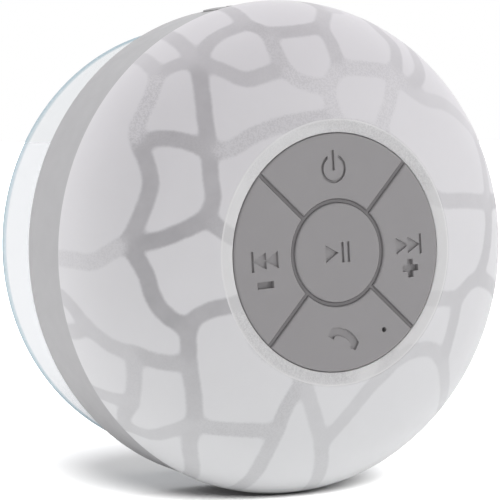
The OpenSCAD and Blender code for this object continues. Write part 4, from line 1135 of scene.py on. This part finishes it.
def build_skirts():
    """The soft skirts that close the grooves between the keys, just under their faces, in the web's
    darker grey: painted shade in the grooves.
    """
    shape = Shape()
    revolve(shape, skirt_section(PLAY_R + KEY_GAP / 2), 240)
    outline = np.array(skirt_section(0.0))
    reaches = np.linspace(PLAY_R + KEY_GAP - 0.1, KEYPAD_R + 0.05, SKIRT_ROWS)
    for angle in DIAGONALS:
        along = np.array(around(1.0, angle))
        beside = np.array([-along[1], along[0]])
        rows = [
            np.column_stack([reach * along + outline[:, :1] * beside, outline[:, 1]])
            for reach in reaches
        ]
        stack_rings(shape, rows, True)
    return make_piece(shape, "key_skirts", "speaker", material_of("keypad_web"))


# ---- CAD nodes that are shown as they are, with softened edges ----

SHARP_EDGE = math.radians(35)
WELD_REACH = 0.002
PLAIN_BEVEL = 0.06
BEVELS = {
    "rear_shell": 0.18,
    "rear_cover": 0.15,
    "port_cover": 0.22,
    "port_cover_anchor": 0.2,
    "suction_cup": 0.2,
    "cup_plug": 0.12,
    "keypad_web": 0.1,
    "battery": 0.3,
}


def finish_node(node):
    """The slot's material and a small bevel, without touching the node's own mesh."""
    piece = frame["nodes"][node]
    piece.data.materials.clear()
    piece.data.materials.append(material_of(node))
    weld = piece.modifiers.new("weld", "WELD")
    weld.merge_threshold = WELD_REACH * MM
    bevel = piece.modifiers.new("bevel", "BEVEL")
    bevel.width = BEVELS.get(node, PLAIN_BEVEL) * MM
    bevel.segments = 2
    bevel.limit_method = "ANGLE"
    bevel.angle_limit = SHARP_EDGE
    bevel.use_clamp_overlap = True
    normals = piece.modifiers.new("normals", "WEIGHTED_NORMAL")
    normals.keep_sharp = False
    normals.weight = 60
    piece.data.polygons.foreach_set("use_smooth", [True] * len(piece.data.polygons))


# ---- Stage, lights and camera ----

# The camera, fitted to the speaker's round edges
CAMERA_TURN = math.radians(-29.481)
CAMERA_RISE = math.radians(5.070)
CAMERA_ROLL = math.radians(-3.411)
CAMERA_AIM_DEPTH = 27.82 * MM
CAMERA_PLACE = (-4.006 * MM, -0.569 * MM, 377.56 * MM)   # right, up and back from the aim
SENSOR_MM = 36.0
LENS_MM = 154.512

FLOOR_REACH = 12.0     # metres from its middle to an edge
FLOOR_DROP = 0.05      # millimetres between the speaker and the floor
FLOOR_BOUNCE = 0.21    # how much light it gives back to the speaker
FLOOR_SEEN = 0.6       # how pale it looks, so that it clips to white away from the shadow
FLOOR_THROUGH = 0.215  # and how pale it looks through the clear cup
FLOOR_SUN = 19.0       # the light that only the floor gets
FLOOR_SUN_SPREAD = math.radians(50)
FLOOR_SUN_FROM = (0.26, 0.62, 0.74)   # right, up and back from the speaker
TENT_SIDE = 1.12       # how bright the tent is beside and behind the speaker
TENT_FRONT = 0.27      # and on the camera's side

# Each soft light: where it is in metres right, up and back, its width and height, and watts
SOFTBOXES = {
    "softbox_right": ((0.55, 0.1, 0.15), (0.4, 0.5), 0.5),
    "softbox_top": ((-0.05, 0.6, 0.0), (0.4, 0.4), 0.36),
    "softbox_left": ((-0.5, 0.05, 0.1), (0.3, 0.2), 0.15),
}


def camera_axes():
    """The camera's right, up and backward directions."""
    back = Vector((
        math.sin(CAMERA_TURN) * math.cos(CAMERA_RISE),
        -math.cos(CAMERA_TURN) * math.cos(CAMERA_RISE),
        math.sin(CAMERA_RISE),
    ))
    level = Vector((math.cos(CAMERA_TURN), math.sin(CAMERA_TURN), 0))
    plumb = back.cross(level)
    right = math.cos(CAMERA_ROLL) * level + math.sin(CAMERA_ROLL) * plumb
    up = -math.sin(CAMERA_ROLL) * level + math.cos(CAMERA_ROLL) * plumb
    return right, up, back


def in_view(offset):
    """A distance or direction given as right, up and back, as the camera sees them."""
    return sum((share * axis for share, axis in zip(offset, camera_axes())), Vector())


def add_camera():
    data = bpy.data.cameras.new("camera")
    data.sensor_width = SENSOR_MM
    data.lens = LENS_MM
    data.clip_start = 0.01
    data.clip_end = 20.0
    camera = add_object("camera", data)
    spot = Vector((0, -CAMERA_AIM_DEPTH, 0)) + in_view(CAMERA_PLACE)
    turn = Matrix(camera_axes()).transposed().to_4x4()
    camera.matrix_world = Matrix.Translation(spot) @ turn
    bpy.context.scene.camera = camera


def upright():
    """True upright: the speaker stands turned a little about its own axis."""
    _, up, back = camera_axes()
    lean = up - up.y / back.y * back
    return lean.normalized()


def seen_directly(n):
    """1 for rays that come straight from the camera or through something clear."""
    path = n.make("ShaderNodeLightPath")
    return n.maths("MAXIMUM", path.outputs["Is Camera Ray"], path.outputs["Is Transmission Ray"])


def add_floor():
    """A pale floor, seen and lit from above only, and turned to the object's true upright."""
    up = upright()
    right = Vector((0, 1, 0)).cross(up)
    away = up.cross(right)
    middle = -(BODY_R + FLOOR_DROP) * MM * up
    corners = [(-1, -1), (1, -1), (1, 1), (-1, 1)]
    points = [middle + FLOOR_REACH * (i * right + j * away) for i, j in corners]
    mesh = bpy.data.meshes.new("floor")
    mesh.from_pydata(points, [], [(3, 2, 1, 0)])
    if mesh.polygons[0].normal.dot(up) < 0:
        mesh.flip_normals()
    floor = add_object("floor", mesh)
    n = Nodes("floor_pale")
    through = n.make("ShaderNodeLightPath").outputs["Transparent Depth"]
    seen = n.mix(n.maths("MINIMUM", through, 1.0), (FLOOR_SEEN,) * 3, (FLOOR_THROUGH,) * 3)
    bright = n.mix(seen_directly(n), (FLOOR_BOUNCE,) * 3, seen)
    diffuse = n.make("ShaderNodeBsdfDiffuse", Color=bright)
    clear = n.make("ShaderNodeBsdfTransparent")
    below = n.make("ShaderNodeNewGeometry").outputs["Backfacing"]
    n.two_surfaces(below, diffuse, clear)
    mesh.materials.append(n.material)
    return floor


def add_world():
    """A light tent: white all round, darker where the camera looks in."""
    world = bpy.data.worlds.new("tent")
    bpy.context.scene.world = world
    n = Nodes("tent", world)
    facing = n.make("ShaderNodeVectorMath", {"operation": "DOT_PRODUCT"})
    n.link(facing, 0, n.make("ShaderNodeTexCoord").outputs["Generated"])
    n.link(facing, 1, camera_axes()[2])
    strength = n.remap(facing.outputs["Value"], 0.0, 1.0, TENT_SIDE, TENT_FRONT)
    tent = n.make("ShaderNodeBackground", Color=(0.99, 0.99, 1.0), Strength=strength)
    seen = n.make("ShaderNodeBackground", Color=(1.0, 1.0, 1.0))
    n.two_surfaces(seen_directly(n), tent, seen)


def add_light(name, kind, energy, backward):
    """A light that shines away from a backward direction."""
    data = bpy.data.lights.new(name, kind)
    data.energy = energy
    light = add_object(name, data)
    light.rotation_mode = "QUATERNION"
    light.rotation_quaternion = backward.to_track_quat("Z", "Y")
    return light


def add_softbox(name, offset, size, watts):
    """A soft light aimed at the speaker; offset is right, up and back from it."""
    away = in_view(offset)
    light = add_light(name, "AREA", watts, away)
    light.location = (cad_bounds[0] + cad_bounds[1]) / 2 + away
    light.data.shape = "RECTANGLE"
    light.data.size, light.data.size_y = size


def add_floor_sun(floor):
    """A wide light from above and in front that only the floor receives: the soft shadow."""
    light = add_light("floor_sun", "SUN", FLOOR_SUN, in_view(FLOOR_SUN_FROM))
    light.data.angle = FLOOR_SUN_SPREAD
    lit = bpy.data.collections.new("floor_only")
    lit.objects.link(floor)
    light.light_linking.receiver_collection = lit


# ---- The pieces and the stage ----

build_dome()
build_bezel()
build_round_key()
build_skirts()
for key_name, key_turn in OUTER_KEYS.items():
    build_outer_key(key_name, key_turn)

rebuilt = {"front_shell", "bezel_ring", "key_play"} | {f"key_{name}" for name in OUTER_KEYS}
for node_name in frame["nodes"]:
    if node_name not in rebuilt:
        finish_node(node_name)

stage_floor = add_floor()
add_world()
for light_name, (light_offset, light_size, light_watts) in SOFTBOXES.items():
    add_softbox(light_name, light_offset, light_size, light_watts)
add_floor_sun(stage_floor)
add_camera()
bpy.context.scene.view_settings.view_transform = "Standard"
